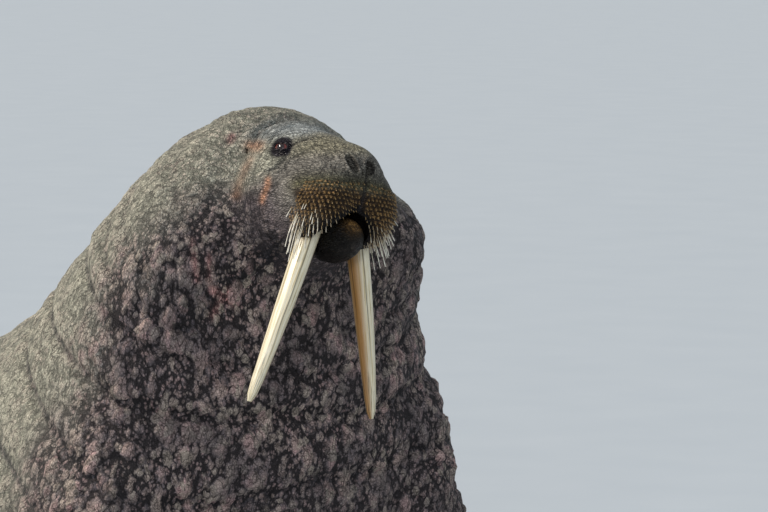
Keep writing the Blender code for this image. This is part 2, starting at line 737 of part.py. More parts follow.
def tusk(name, side, margin=0.0):
    back, out = (math.tan(math.radians(v)) for v in TUSK_LEAN)
    axis = unit((back, side * out, -1))
    fore = unit(np.array((1, 0, 0)) - axis * axis[0])
    aside = np.cross(axis, fore)
    root = np.array((TUSK_ROOT[0], side * TUSK_ROOT[1], TUSK_ROOT[2])) - axis * margin
    length = TUSK_LENGTH + 2 * margin
    parts, scales = zip(*TUSK_TAPER)
    rings = []
    for t in TUSK_RINGS:
        scale = float(np.interp(t, parts, scales))
        middle = root + axis * length * t + fore * TUSK_BEND * t * t
        ring = []
        for j in range(TUSK_SIDES):
            turn = 2 * math.pi * (j + 0.5) / TUSK_SIDES
            deep = (TUSK_RADII[0] * scale + margin) * math.cos(turn)
            wide = (TUSK_RADII[1] * scale + margin) * math.sin(turn)
            ring.append(tuple(HEAD @ Vector(middle + fore * deep + aside * wide)))
        rings.append(ring)
    return closed_loft(name, rings)


def eyeball(name, side, margin=0.0):
    radius = EYE_RADIUS + margin
    return ellipsoid(name, (EYE[0], side * EYE[1], EYE[2]), (radius,) * 3, 0, HEAD, 18, 11)


def whisker(name, root, way, droop, length):
    """A tapered bristle of three sides that starts below the skin and bends as it grows."""
    aside = unit(np.cross(way, droop))
    over = np.cross(aside, way)
    spots = [(-WHISKER_SINK, 0.0, 1.25), (length * 0.5, length * 0.08, 0.75)]
    points = []
    for along, bend, scale in spots:
        middle = root + way * along + droop * bend
        for j in range(3):
            turn = 2 * math.pi * j / 3
            across = aside * math.cos(turn) + over * math.sin(turn)
            points.append(middle + across * WHISKER_RADIUS * scale)
    points.append(root + way * length * 0.96 + droop * length * 0.26)
    faces = [(0, 1, 2)]
    for j in range(3):
        k = (j + 1) % 3
        faces.extend([(j, k, 3 + k), (j, 3 + k, 3 + j), (3 + j, 3 + k, 6)])
    return solid(name, points, faces)


def whisker_way(side, swing, tilt):
    """The way out of the pad at an angle back from the nose and an angle up, both in degrees."""
    back, up = math.radians(swing), math.radians(tilt)
    local = (math.cos(back) * math.cos(up), side * math.sin(back) * math.cos(up), math.sin(up))
    return HEAD.to_3x3() @ Vector(local)


def make_bristles(muzzle, side, draw):
    """The whiskers of one pad, each set where a ray from inside the pad leaves the skin."""
    tree = BVHTree.FromObject(muzzle, bpy.context.evaluated_depsgraph_get())
    x, y, z = HEAD_MASSES["pad"][0]
    middle = HEAD @ Vector((x, side * y * 0.8, z + 0.010))
    down = unit(HEAD.to_3x3() @ Vector((-0.15, side * 0.25, -1.0)))
    made = []
    for row, (fall, count, length) in enumerate(WHISKER_ROWS):
        for column in range(count):
            swing = 4 + 80 * (column + 0.5 * (row % 2)) / (count - 0.5)
            way = whisker_way(side, swing + draw.uniform(-2, 2), fall + draw.uniform(-2, 2))
            spot, normal, _, _ = tree.ray_cast(middle + way * 0.3, -way)
            lean = unit(np.array(normal) * 0.45 + down)
            grown = length * (0.55 + 0.75 * column / count) * draw.uniform(0.85, 1.15)
            made.append(whisker("whisker", np.array(spot), lean, down, grown))
    return made


def fuse(obj, pieces):
    """One union of the object with all the pieces, which are then removed."""
    bunch = bpy.data.collections.new("pieces")
    for piece in pieces:
        bunch.objects.link(piece)
    change = obj.modifiers.new("fuse", "BOOLEAN")
    change.operation = "UNION"
    change.operand_type = "COLLECTION"
    change.collection = bunch
    settle(obj)
    for piece in pieces:
        remove(piece)
    bpy.data.collections.remove(bunch)
    keep_largest(obj)


def grow_whiskers(muzzle):
    draw = random.Random(7)
    fuse(muzzle, make_bristles(muzzle, 1, draw) + make_bristles(muzzle, -1, draw))


def nail(root, way, length, half):
    """A tapered nail of five sides that lies along the digit, with its root sunk in."""
    across = way.cross(Vector((0, 0, 1))).normalized()
    points = []
    for back, wide, low, high in ((-0.012, 0.7, -0.007, -0.003), (0.0, 1.0, -0.006, 0.0030)):
        for x, z in ((-1, low), (-1, high * 0.4), (0, high), (1, high * 0.4), (1, low)):
            points.append(root + way * back + across * x * wide * half + Vector((0, 0, z)))
    points.append(root + way * length + Vector((0, 0, 0.0015)))
    faces = [(0, 1, 2, 3, 4)]
    for j in range(5):
        k = (j + 1) % 5
        faces.extend([(j, k, 5 + k, 5 + j), (5 + j, 5 + k, 10)])
    return solid("nail", points, faces)


def grow_nails(limb, wrist, sizes, nails, side):
    """A small nail on the back of each digit, a little short of its tip."""
    tree = BVHTree.FromObject(limb, bpy.context.evaluated_depsgraph_get())
    ahead, aside = hand_axes(sizes, side)
    opening = sizes["tip"] - sizes["root"]
    made = []
    for i, (part, length, half) in enumerate(nails):
        lane = min(0.92, max(-0.92, 2 * i / (len(nails) - 1) - 1))
        spread = sizes["root"] + opening * part**0.8
        reach = part * sizes["length"] * sizes["digits"][i] - HAND_BACK
        spot = wrist + ahead * reach + aside * lane * spread
        root, _, _, _ = tree.ray_cast((spot.x, spot.y, 0.3), (0, 0, -1))
        way = (ahead * sizes["length"] + aside * lane * opening * 0.8).normalized()
        made.append(nail(root, way, length, half))
    fuse(limb, made)


def thin_all(flesh):
    """Fewer triangles, with a closer mesh kept on the face."""
    near_face = face_distance(flesh.data) < 0.21
    body_count = count_in(flesh, ~near_face)
    thin_out(flesh, ~near_face, triangles(flesh) - body_count + BODY_TRIANGLES)
    near_face = face_distance(flesh.data) < 0.21
    face_count = count_in(flesh, near_face)
    thin_out(flesh, near_face, triangles(flesh) - face_count + FACE_TRIANGLES)


def part_flipper(flesh, name, joints, sizes, block, nails, side):
    """Parts one flipper from the body and gives it its nails."""
    wrist = wrist_place(joints, side)
    limb = copy_of(flesh, name)
    combine(limb, hand_block(wrist, sizes, side, block, 0.0), "INTERSECT")
    combine(flesh, hand_block(wrist, sizes, side, block, GAP), "DIFFERENCE")
    grow_nails(limb, wrist, sizes, nails, side)


def part_body(flesh):
    """Parts the body across its length, from the tail to the muzzle, and returns head and muzzle."""
    flesh.name = "tail"
    piece = flesh
    for (x, y, z), normal, name in (
        (*TAIL_CUT, "hindquarters"),
        (*RUMP_CUT, "torso"),
        (*TORSO_CUT, "chest"),
        (*CHEST_CUT, "neck"),
        (*NECK_CUT, "head"),
    ):
        piece = part_in_two(piece, (NAPE_X + x, y, z), normal, name)
    point, normal = MUZZLE_CUT
    muzzle = part_in_two(piece, HEAD @ Vector(point), HEAD.to_3x3() @ Vector(normal), "muzzle")
    return piece, muzzle


def add_mouth(muzzle):
    """The hollow under the lip, and the chin in it."""
    jaw = ellipsoid("lower_jaw", *CHIN, 0, HEAD, 24, 14)
    combine(muzzle, ellipsoid("mouth", *MOUTH, 0, HEAD, 24, 14), "DIFFERENCE")
    combine(muzzle, grown_copy(jaw, GAP), "DIFFERENCE")
    for side, _ in SIDES:
        combine(jaw, tusk("clear", side, 2 * GAP), "DIFFERENCE")


def add_eyes(head):
    for side, word in SIDES:
        combine(head, eyeball("socket", side, GAP), "DIFFERENCE")
        eyeball("eye_" + word, side)


def add_tusks(muzzle):
    for side, word in SIDES:
        combine(muzzle, tusk("socket", side, GAP), "DIFFERENCE")
        tusk("tusk_" + word, side)


def colour(objects):
    """Gives each node a material of its own, by the look that its name starts with."""
    for obj in objects:
        for rgb, rough, names in LOOKS.values():
            if obj.name.startswith(names):
                look = bpy.data.materials.new(obj.name)
                look.use_nodes = True
                shader = look.node_tree.nodes["Principled BSDF"]
                shader.inputs["Base Color"].default_value = (*rgb, 1.0)
                shader.inputs["Roughness"].default_value = rough
                shader.inputs["Metallic"].default_value = 0.0
                obj.data.materials.clear()
                obj.data.materials.append(look)


def gather(objects):
    """Puts the nodes in one collection named for the animal."""
    group = bpy.data.collections.new("walrus")
    bpy.context.scene.collection.children.link(group)
    for obj in objects:
        bpy.context.scene.collection.objects.unlink(obj)
        group.objects.link(obj)


def build():
    for obj in list(bpy.data.objects):
        bpy.data.objects.remove(obj)
    flesh = make_flesh()
    fold_skin(flesh.data)
    detail_face(flesh)
    slice_off(flesh, (0, 0, 0), (0, 0, -1))
    thin_all(flesh)
    level_floor(flesh)
    for side, word in SIDES:
        part_flipper(flesh, "fore_flipper_" + word, FORE_ARM, FORE_HAND, FORE_BLOCK, FORE_NAILS, side)
        part_flipper(flesh, "hind_flipper_" + word, hind_arm(side), HIND_HAND, HIND_BLOCK, HIND_NAILS, side)
    head, muzzle = part_body(flesh)
    add_mouth(muzzle)
    add_eyes(head)
    grow_whiskers(muzzle)
    add_tusks(muzzle)
    nodes = list(bpy.data.objects)
    centre(nodes)
    colour(nodes)
    gather(nodes)
    for obj in nodes:
        print(obj.name, triangles(obj))


def centre(objects):
    """Takes out the last millimetre or so between the middle of the whole and the origin."""
    every = np.concatenate([read_points(obj.data) for obj in objects])
    middle = (every.min(0) + every.max(0)) / 2
    print("off centre by", middle)
    for obj in objects:
        write_points(obj.data, read_points(obj.data) - (middle[0], middle[1], 0))


def count_in(obj, inside):
    return sum(len(f.vertices) - 2 for f in obj.data.polygons if inside[f.vertices[0]])


def level_floor(obj):
    """Sets the underside's points that lie within a few millimetres of the floor onto it."""
    points = read_points(obj.data)
    points[:, 2] = np.where(points[:, 2] < 0.0015, 0.0, points[:, 2])
    write_points(obj.data, points)


if __name__ == "__main__":
    build()
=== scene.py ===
# Life-size bull walrus on a pale studio floor, seen as in the photograph: from its right, a little in front.
# Metres, Z up, nose towards X. The skin is one closed mesh; tusks, eyes, whiskers and claws are on their own.

import math
import random

import bmesh
import bpy
import numpy as np
from mathutils import Matrix, Vector, noise
from mathutils.bvhtree import BVHTree
from mathutils.kdtree import KDTree


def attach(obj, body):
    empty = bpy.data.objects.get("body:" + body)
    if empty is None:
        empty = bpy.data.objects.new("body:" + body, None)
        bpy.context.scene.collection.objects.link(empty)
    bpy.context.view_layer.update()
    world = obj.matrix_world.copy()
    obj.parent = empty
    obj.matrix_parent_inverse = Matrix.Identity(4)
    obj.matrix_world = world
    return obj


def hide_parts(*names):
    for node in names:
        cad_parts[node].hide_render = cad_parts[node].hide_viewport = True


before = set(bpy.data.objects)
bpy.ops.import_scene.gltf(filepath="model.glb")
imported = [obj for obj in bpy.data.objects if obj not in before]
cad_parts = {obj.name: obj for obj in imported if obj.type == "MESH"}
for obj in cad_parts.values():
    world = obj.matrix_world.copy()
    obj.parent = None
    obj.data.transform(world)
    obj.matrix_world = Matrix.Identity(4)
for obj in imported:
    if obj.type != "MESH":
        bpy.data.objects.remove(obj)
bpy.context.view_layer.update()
print("frame loaded:", len(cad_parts), "nodes")

# where the top of the nape stands, which everything on the body is measured from
napeX = 1.0208
napeZ = 1.200
sides = ((1, "left"), (-1, "right"))

# camera: the photo's scale at the walrus, and the pixel of the photo that shows the top of the nape
view = {
    "azimuth": 52.0,
    "elevation": 5.0,
    "lens": 200.0,
    "sensor": 36.0,
    "pixelsPerMetre": 470.0,
    "photoSize": (768, 512),
    "napePixel": (270, 105),
}


def makeCamera():
    a, e = math.radians(view["azimuth"]), math.radians(view["elevation"])
    back = Vector((math.sin(a) * math.cos(e), -math.cos(a) * math.cos(e), math.sin(e)))
    right = Vector((math.cos(a), math.sin(a), 0))
    up = back.cross(right)
    wide, high = view["photoSize"]
    x, y = view["napePixel"]
    scale = view["pixelsPerMetre"]
    centre = Vector((napeX, 0, napeZ)) + right * (wide / 2 - x) / scale - up * (high / 2 - y) / scale
    distance = wide / scale * view["lens"] / view["sensor"]
    lens = bpy.data.cameras.new("camera")
    lens.lens = view["lens"]
    lens.sensor_width = view["sensor"]
    lens.clip_end = 400
    camera = bpy.data.objects.new("camera", lens)
    bpy.context.scene.collection.objects.link(camera)
    camera.location = centre + back * distance
    camera.rotation_euler = (-back).to_track_quat("-Z", "Y").to_euler()
    bpy.context.scene.camera = camera


makeCamera()
print("camera set")


# mesh helpers
def newObject(name, points, faces):
    mesh = bpy.data.meshes.new(name)
    mesh.from_pydata([tuple(p) for p in points], [], faces)
    shape = bmesh.new()
    shape.from_mesh(mesh)
    bmesh.ops.recalc_face_normals(shape, faces=shape.faces)
    shape.to_mesh(mesh)
    shape.free()
    obj = bpy.data.objects.new(name, mesh)
    bpy.context.scene.collection.objects.link(obj)
    return obj


def closedLoft(name, rings):
    rings = np.array(rings)
    count, lanes = rings.shape[:2]
    points = [tuple(p) for ring in rings for p in ring]
    points += [tuple(rings[0].mean(0)), tuple(rings[-1].mean(0))]
    faces = []
    for i in range(count - 1):
        for j in range(lanes):
            k = (j + 1) % lanes
            faces.append((i * lanes + j, i * lanes + k, (i + 1) * lanes + k, (i + 1) * lanes + j))
    for j in range(lanes):
        k = (j + 1) % lanes
        faces.append((count * lanes, k, j))
        faces.append((count * lanes + 1, (count - 1) * lanes + j, (count - 1) * lanes + k))
    return newObject(name, points, faces)


def ellipsoid(name, centre, radii, pitch=0.0, place=Matrix.Identity(4), segments=32, rings=20):
    shape = bmesh.new()
    bmesh.ops.create_uvsphere(shape, u_segments=segments, v_segments=rings, radius=1.0)
    turn = Matrix.Translation(centre) @ Matrix.Rotation(math.radians(pitch), 4, "Y")
    bmesh.ops.transform(shape, matrix=place @ turn @ Matrix.Diagonal((*radii, 1.0)), verts=shape.verts)
    mesh = bpy.data.meshes.new(name)
    shape.to_mesh(mesh)
    shape.free()
    obj = bpy.data.objects.new(name, mesh)
    bpy.context.scene.collection.objects.link(obj)
    return obj


def removeObject(obj):
    mesh = obj.data
    bpy.data.objects.remove(obj)
    bpy.data.meshes.remove(mesh)


def joinAll(name, objects):
    points, faces, base = [], [], 0
    for obj in objects:
        points.extend(tuple(v.co) for v in obj.data.vertices)
        faces.extend([base + v for v in f.vertices] for f in obj.data.polygons)
        base = len(points)
        removeObject(obj)
    return newObject(name, points, faces)


# turns the modifiers of an object into plain mesh
def settle(obj):
    mesh = bpy.data.meshes.new_from_object(obj.evaluated_get(bpy.context.evaluated_depsgraph_get()))
    obj.modifiers.clear()
    old = obj.data
    obj.data = mesh
    bpy.data.meshes.remove(old)


def readPoints(mesh):
    flat = np.empty(len(mesh.vertices) * 3)
    mesh.vertices.foreach_get("co", flat)
    return flat.reshape(-1, 3)


def writePoints(mesh, points):
    mesh.vertices.foreach_set("co", np.ascontiguousarray(points).ravel())
    mesh.update()


def readNormals(mesh):
    flat = np.empty(len(mesh.vertices) * 3)
    mesh.vertices.foreach_get("normal", flat)
    return flat.reshape(-1, 3)


def smooth(low, high, value):
    t = np.clip((value - low) / (high - low), 0, 1)
    return t * t * (3 - 2 * t)


def unit(v):
    v = np.asarray(v, float)
    return v / np.linalg.norm(v)


# moves each point towards the middle of its neighbours
def relax(mesh, passes, strength):
    points = readPoints(mesh)
    ends = np.empty(len(mesh.edges) * 2, int)
    mesh.edges.foreach_get("vertices", ends)
    a, b = ends.reshape(-1, 2).T
    counts = np.bincount(ends, minlength=len(points))[:, None]
    amount = np.broadcast_to(np.asarray(strength, float).reshape(-1, 1), (len(points), 1))
    size = len(points)
    for _ in range(passes):
        total = [np.bincount(a, points[b, k], size) + np.bincount(b, points[a, k], size) for k in range(3)]
        points = points + amount * (np.stack(total, axis=1) / counts - points)
    writePoints(mesh, points)


# splits the edges of the faces that lie wholly among the chosen points
def refine(mesh, chosen):
    shape = bmesh.new()
    shape.from_mesh(mesh)
    shape.verts.ensure_lookup_table()
    faces = [f for f in shape.faces if all(chosen[v.index] for v in f.verts)]
    edges = list({e for f in faces for e in f.edges})
    bmesh.ops.subdivide_edges(shape, edges=edges, cuts=1, use_grid_fill=True)
    shape.to_mesh(mesh)
    shape.free()


def countTriangles(mesh, inside=None):
    return sum(len(f.vertices) - 2 for f in mesh.polygons if inside is None or inside[f.vertices[0]])


# collapses the chosen region until about the target count of triangles is left there
def thinOut(obj, inside, target):
    group = obj.vertex_groups.new(name="thin")
    group.add([int(i) for i in np.nonzero(inside)[0]], 1.0, "REPLACE")
    now = countTriangles(obj.data)
    change = obj.modifiers.new("thin", "DECIMATE")
    change.ratio = (now - countTriangles(obj.data, inside) + target) / now
    change.vertex_group = "thin"
    change.vertex_group_factor = 1000.0
    settle(obj)
    obj.vertex_groups.clear()


def combine(obj, other, operation):
    change = obj.modifiers.new("cut", "BOOLEAN")
    change.operation = operation
    change.object = other
    change.solver = "MANIFOLD"
    settle(obj)
    removeObject(other)


# trunk: slices across the body from inside the head to the rump, each with its top and bottom point
# (x from the nape, z), half width, height of the widest place, exponents below and above, sideways shift
trunk = {
    "slices": (
        ((0.105, 1.130), (0.185, 0.960), 0.085, 0.50, 2.0, 2.0, 0.000),
        ((0.065, 1.180), (0.175, 0.905), 0.155, 0.48, 2.0, 2.0, -0.004),
        ((0.000, 1.200), (0.160, 0.865), 0.228, 0.44, 2.0, 1.95, -0.008),
        ((-0.105, 1.157), (0.145, 0.800), 0.318, 0.42, 2.1, 1.9, -0.014),
        ((-0.220, 1.045), (0.140, 0.710), 0.386, 0.42, 2.1, 1.95, -0.014),
        ((-0.345, 0.918), (0.140, 0.590), 0.432, 0.43, 2.1, 2.0, -0.008),
        ((-0.490, 0.810), (0.135, 0.430), 0.462, 0.43, 2.2, 2.0, -0.002),
        ((-0.640, 0.735), (0.090, 0.260), 0.480, 0.42, 2.3, 2.0, 0.000),
        ((-0.800, 0.672), (-0.010, 0.100), 0.500, 0.41, 2.4, 2.0, 0.000),
        ((-0.980, 0.618), (-0.220, 0.005), 0.515, 0.40, 2.6, 2.0, 0.000),
        ((-1.170, 0.578), (-0.540, -0.020), 0.520, 0.39, 2.7, 2.0, 0.004),
        ((-1.380, 0.534), (-0.960, -0.020), 0.500, 0.39, 2.7, 2.0, 0.014),
        ((-1.620, 0.470), (-1.380, -0.020), 0.440, 0.39, 2.6, 2.0, 0.032),
        ((-1.850, 0.388), (-1.720, -0.020), 0.350, 0.39, 2.4, 2.0, 0.056),
        ((-2.050, 0.295), (-1.990, -0.015), 0.250, 0.40, 2.2, 2.0, 0.082),
        ((-2.200, 0.212), (-2.180, 0.005), 0.170, 0.43, 2.0, 2.0, 0.100),
        ((-2.290, 0.155), (-2.280, 0.040), 0.090, 0.50, 2.0, 2.0, 0.110),
    ),
    "rings": 110,
    "lanes": 56,
    "swell": 0.007,  # smoothing draws the surface in by about this much
    "roll": ((-0.085, 0.250, 0.886), (0.230, 0.168, 0.148)),  # loose skin on the left of the neck
}


def trunkRows(count):
    rows = np.array([(*top, *bottom, *rest) for top, bottom, *rest in trunk["slices"]], float)
    steps = np.linspace(0, len(rows) - 1, count)
    slopes = np.gradient(rows, axis=0)
    low = np.clip(steps.astype(int), 0, len(rows) - 2)
    t = (steps - low)[:, None]
    p0, p1, m0, m1 = rows[low], rows[low + 1], slopes[low], slopes[low + 1]
    start = (2 * t**3 - 3 * t**2 + 1) * p0 + (t**3 - 2 * t**2 + t) * m0
    return start + (3 * t**2 - 2 * t**3) * p1 + (t**3 - t**2) * m1


def makeTrunk():
    rings = []
    for tx, tz, bx, bz, wide, middle, low, high, shift in trunkRows(trunk["rings"]):
        ring = []
        centre = Vector((napeX + (bx + tx) / 2, shift, (bz + tz) / 2))
        for j in range(trunk["lanes"]):
            turn = 2 * math.pi * j / trunk["lanes"]
            across, rise = math.sin(turn), -math.cos(turn)
            power = 2 / (low if rise < 0 else high)
            y = wide * math.copysign(abs(across) ** power, across)
            reach = middle if rise < 0 else 1 - middle
            t = middle + reach * math.copysign(abs(rise) ** power, rise)
            spot = Vector((napeX + bx + (tx - bx) * t, y + shift, bz + (tz - bz) * t))
            ring.append(tuple(spot + (spot - centre).normalized() * trunk["swell"]))
        rings.append(ring)
    return closedLoft("trunk", rings)


# head: its own frame starts midway between the eyes, x forward, y left, z up
head = {
    "place": (napeX + 0.160, 0.0, 1.108),
    "roll": -11.0,
    "pitch": -10.0,
    "yaw": 3.0,
    # centre, radii, pitch, and whether it stands on both sides
    "masses": {
        "cranium": ((-0.055, 0.000, -0.030), (0.150, 0.116, 0.090), 0, False),
        "bridge": ((0.066, 0.000, -0.045), (0.110, 0.076, 0.066), 14, False),
        "nose": ((0.124, 0.006, -0.055), (0.056, 0.066, 0.054), 0, False),
        "lip": ((0.100, 0.000, -0.105), (0.074, 0.055, 0.050), 0, False),
        "pad": ((0.070, 0.062, -0.125), (0.106, 0.070, 0.090), 8, True),
        "jowl": ((0.010, 0.082, -0.128), (0.075, 0.052, 0.064), 0, True),
        "cheek": ((-0.045, 0.078, -0.110), (0.115, 0.070, 0.105), 0, True),
        "throat": ((-0.020, 0.000, -0.180), (0.130, 0.085, 0.070), 0, False),
        "brow": ((-0.005, 0.070, 0.012), (0.050, 0.034, 0.026), 0, True),
    },
    "chin": ((0.080, 0.000, -0.196), (0.069, 0.047, 0.049)),
    "mouth": ((0.100, -0.016, -0.184), (0.066, 0.066, 0.053)),
}
headFrame = (
    Matrix.Translation(head["place"])
    @ Matrix.Rotation(math.radians(head["yaw"]), 4, "Z")
    @ Matrix.Rotation(math.radians(head["pitch"]), 4, "Y")
    @ Matrix.Rotation(math.radians(head["roll"]), 4, "X")
)
headTurnMatrix = headFrame.to_3x3()
headTurn = np.array(headTurnMatrix)
headSpot = np.array(headFrame)[:3, 3]


def toHead(points):
    return (points - headSpot) @ headTurn


def toWorld(local):
    return local @ headTurn.T + headSpot


def makeHead():
    made = []
    for name, (centre, radii, pitch, paired) in head["masses"].items():
        for side in (1, -1) if paired else (1,):
            x, y, z = centre
            made.append(ellipsoid(name, (x, side * y, z), radii, pitch, headFrame))
    return made


# limbs, from the nape's x: joints with their radii, then the flippers that lie on the floor
limbs = {
    "shoulder": ((-0.130, 0.370, 0.390), (0.230, 0.155, 0.280)),
    "foreArm": (((-0.060, 0.430, 0.260), 0.130), ((0.030, 0.470, 0.085), 0.085)),
    "hindArm": (((-2.060, 0.090, 0.150), 0.095), ((-2.230, 0.160, 0.075), 0.068)),
    "rumpShift": 0.110,
    "tail": ((-2.330, 0.112, 0.085), (0.075, 0.045, 0.030)),
    "back": 0.030,
    "foreHand": {
        "heading": 118,
        "length": 0.430,
        "root": 0.085,
        "tip": 0.155,
        "thick": 0.075,
        "thin": 0.022,
        "notch": 0.06,
        "digits": (1.00, 0.98, 0.94, 0.88, 0.80),
    },
    "hindHand": {
        "heading": 68,
        "length": 0.440,
        "root": 0.060,
        "tip": 0.235,
        "thick": 0.070,
        "thin": 0.018,
        "notch": 0.09,
        "digits": (1.00, 0.90, 0.84, 0.90, 1.00),
    },
}


def makeArm(name, joints, side, segments=20):
    (start, wide), (end, narrow) = joints
    start = Vector((napeX + start[0], side * start[1], start[2]))
    end = Vector((napeX + end[0], side * end[1], end[2]))
    axis = (end - start).normalized()
    aside = axis.orthogonal().normalized()
    across = axis.cross(aside)
    rings = []
    for i in range(8):
        angle = math.pi / 2 * (1 - i / 7.5)
        rings.append((start - axis * wide * math.sin(angle), wide * math.cos(angle)))
    for i in range(1, 9):
        angle = math.pi / 2 * (i - 0.5) / 8
        rings.append((end + axis * narrow * math.sin(angle), narrow * math.cos(angle)))
    turns = [2 * math.pi * j / segments for j in range(segments)]
    loops = [[tuple(c + (aside * math.cos(t) + across * math.sin(t)) * r) for t in turns] for c, r in rings]
    return closedLoft(name, loops)


def handAxes(sizes, side):
    heading = math.radians(sizes["heading"])
    ahead = Vector((math.cos(heading), side * math.sin(heading), 0))
    aside = Vector((-math.sin(heading), side * math.cos(heading), 0))
    return ahead, aside


# a flat flipper: one heightfield with a crest and a rounded tip for each digit
def makeHand(name, wrist, sizes, side):
    ahead, aside = handAxes(sizes, side)
    digits = sizes["digits"]
    steps, lanes = 40, 121
    rings = []
    for j in range(lanes):
        a = 2 * j / (lanes - 1) - 1
        place = (a + 1) / 2 * (len(digits) - 1)
        low = min(int(place), len(digits) - 2)
        reach = digits[low] + (digits[low + 1] - digits[low]) * (place - low)
        crest = 0.5 + 0.5 * math.cos(2 * math.pi * place)
        column = []
        for i in range(steps + 1):
            r = i / steps
            length = sizes["length"] * (reach - sizes["notch"] * (1 - crest) * r)
            spread = sizes["root"] + (sizes["tip"] - sizes["root"]) * r**0.8
            spread *= 0.55 + 0.45 * math.sin(math.pi / 2 * min(1, r / 0.18))
            flat = sizes["thin"] + (sizes["thick"] - sizes["thin"]) * (1 - r) ** 1.3
            edge = (1 - abs(a) ** 6) ** 0.5 * (1 - max(0, (r - 0.85) / 0.15) ** 3 * 0.5)
            height = 0.010 + flat * edge * (0.72 + 0.38 * crest * min(1, r * 2))
            spot = wrist + ahead * (r * length - limbs["back"]) + aside * a * spread
            column.append((spot.x, spot.y, height))
        rings.append(column + [(x, y, -0.012) for x, y, _ in reversed(column)])
    return closedLoft(name, rings)


def hindJoints(side):
    return [((x, y + side * limbs["rumpShift"], z), r) for (x, y, z), r in limbs["hindArm"]]


def wristPlace(joints, side):
    x, y, _ = joints[1][0]
    return Vector((napeX + x, side * y, 0))


def makeLimbs():
    made = []
    for side, _ in sides:
        (x, y, z), radii = limbs["shoulder"]
        made.append(ellipsoid("shoulder", (napeX + x, side * y, z), radii))
        made.append(makeArm("arm", limbs["foreArm"], side))
        made.append(makeHand("hand", wristPlace(limbs["foreArm"], side), limbs["foreHand"], side))
        joints = hindJoints(side)
        made.append(makeArm("ankle", joints, side))
        made.append(makeHand("foot", wristPlace(joints, side), limbs["hindHand"], side))
    (x, y, z), radii = limbs["tail"]
    made.append(ellipsoid("tail", (napeX + x, y, z), radii))
    return made


# skin: one closed mesh over the whole body, closer where it is seen close
skin = {
    "cell": 0.0082,
    "faceCentre": (0.05, 0.0, -0.08),
    "torsoTriangles": 18000,
    "flipperTriangles": 12000,
    "rearStart": 7.6,
    # neck folds: place along the slices, depth, half width, and how much the fold wanders
    "folds": (
        (1.70, 0.003, 0.014, 0.10),
        (2.60, 0.004, 0.016, 0.12),
        (3.40, 0.005, 0.016, 0.10),
        (4.00, 0.007, 0.015, 0.08),
        (4.55, 0.009, 0.017, 0.08),
        (5.35, 0.012, 0.021, 0.10),
        (6.25, 0.013, 0.025, 0.14),
        (7.30, 0.012, 0.028, 0.16),
    ),
}


def faceDistance(points):
    return np.linalg.norm(toHead(points) - skin["faceCentre"], axis=1)


def makeFlesh():
    centre, radii = trunk["roll"]
    roll = ellipsoid("roll", (napeX + centre[0], centre[1], centre[2]), radii)
    flesh = joinAll("skin", [makeTrunk(), roll, *makeHead(), *makeLimbs()])
    change = flesh.modifiers.new("even", "REMESH")
    change.mode = "VOXEL"
    change.voxel_size = skin["cell"]
    settle(flesh)
    points = readPoints(flesh.data)
    offHead = smooth(0.10, 0.24, np.linalg.norm(toHead(points) - (0.06, 0, -0.10), axis=1))
    offFloor = smooth(0.05, 0.16, points[:, 2])
    relax(flesh.data, 26, 0.5 * (0.2 + 0.8 * offFloor))
    relax(flesh.data, 110, 0.5 * offHead * offFloor)
    return flesh


# each point's place along the slices, its angle round them, metres a slice there, and its lie: a place in
# coordinates that bend with the body, across, up the slice and along the skin
def trunkPlace(points):
    rows = trunkRows(161)
    slices = len(trunk["slices"]) - 1
    tops = rows[:, :2] + (napeX, 0)
    bottoms = rows[:, 2:4] + (napeX, 0)
    spans = tops - bottoms
    at = points[:, [0, 2]]
    best = np.zeros(len(points))
    first = last = None
    for i in range(len(rows)):
        q = at - bottoms[i]
        behind = (spans[i, 0] * q[:, 1] - spans[i, 1] * q[:, 0]) / np.linalg.norm(spans[i])
        if last is None:
            first = behind
        else:
            crossed = (last > 0) & (behind <= 0)
            part = np.where(crossed, last / np.maximum(last - behind, 1e-9), 0)
            best = np.where(crossed, i - 1 + part, best)
        last = behind
    best = np.where(last > 0, len(rows) - 1.0, best)
    low = np.clip(best.astype(int), 0, len(rows) - 2)
    mix = (best - low)[:, None]
    top = tops[low] * (1 - mix) + tops[low + 1] * mix
    bottom = bottoms[low] * (1 - mix) + bottoms[low + 1] * mix
    span = np.linalg.norm(top - bottom, axis=1)
    high = np.sum((at - bottom) * (top - bottom), axis=1) / span**2
    angle = np.arctan2(points[:, 1], (high - 0.45) * span)
    topStep = np.linalg.norm(np.diff(tops, axis=0), axis=1)
    bottomStep = np.linalg.norm(np.diff(bottoms, axis=0), axis=1)
    rise = np.clip(high, 0, 1)
    steps = len(topStep) / slices
    metres = (bottomStep[low] + (topStep[low] - bottomStep[low]) * rise) * steps
    down = [np.interp(best, np.arange(len(rows)), np.append(0, np.cumsum(s))) for s in (bottomStep, topStep)]
    skinLength = down[0] + (down[1] - down[0]) * rise + np.minimum(first, 0)
    lie = np.stack((points[:, 1], (high - 0.45) * span, skinLength), axis=1)
    return best / steps, angle, metres, lie


# how far the neck folds move each point, and how deep in a fold it lies
def foldAmount(along, angle, metres):
    change, groove = np.zeros((2, len(along)))
    for i, (place, depth, half, wander) in enumerate(skin["folds"]):
        wave = wander * (np.sin(angle * 2 + i * 2.1) + 0.5 * np.sin(angle * 5 + i * 1.3))
        gap = (along - place - wave) * metres
        inside = np.exp(-((gap / half) ** 2))
        swelling = 0.35 * np.exp(-(((gap + 2.2 * half) / (1.6 * half)) ** 2))
        change += depth * (swelling - inside)
        groove = np.maximum(groove, np.exp(-((gap / (0.45 * half)) ** 2)) * min(1, depth / 0.010))
    return change, groove


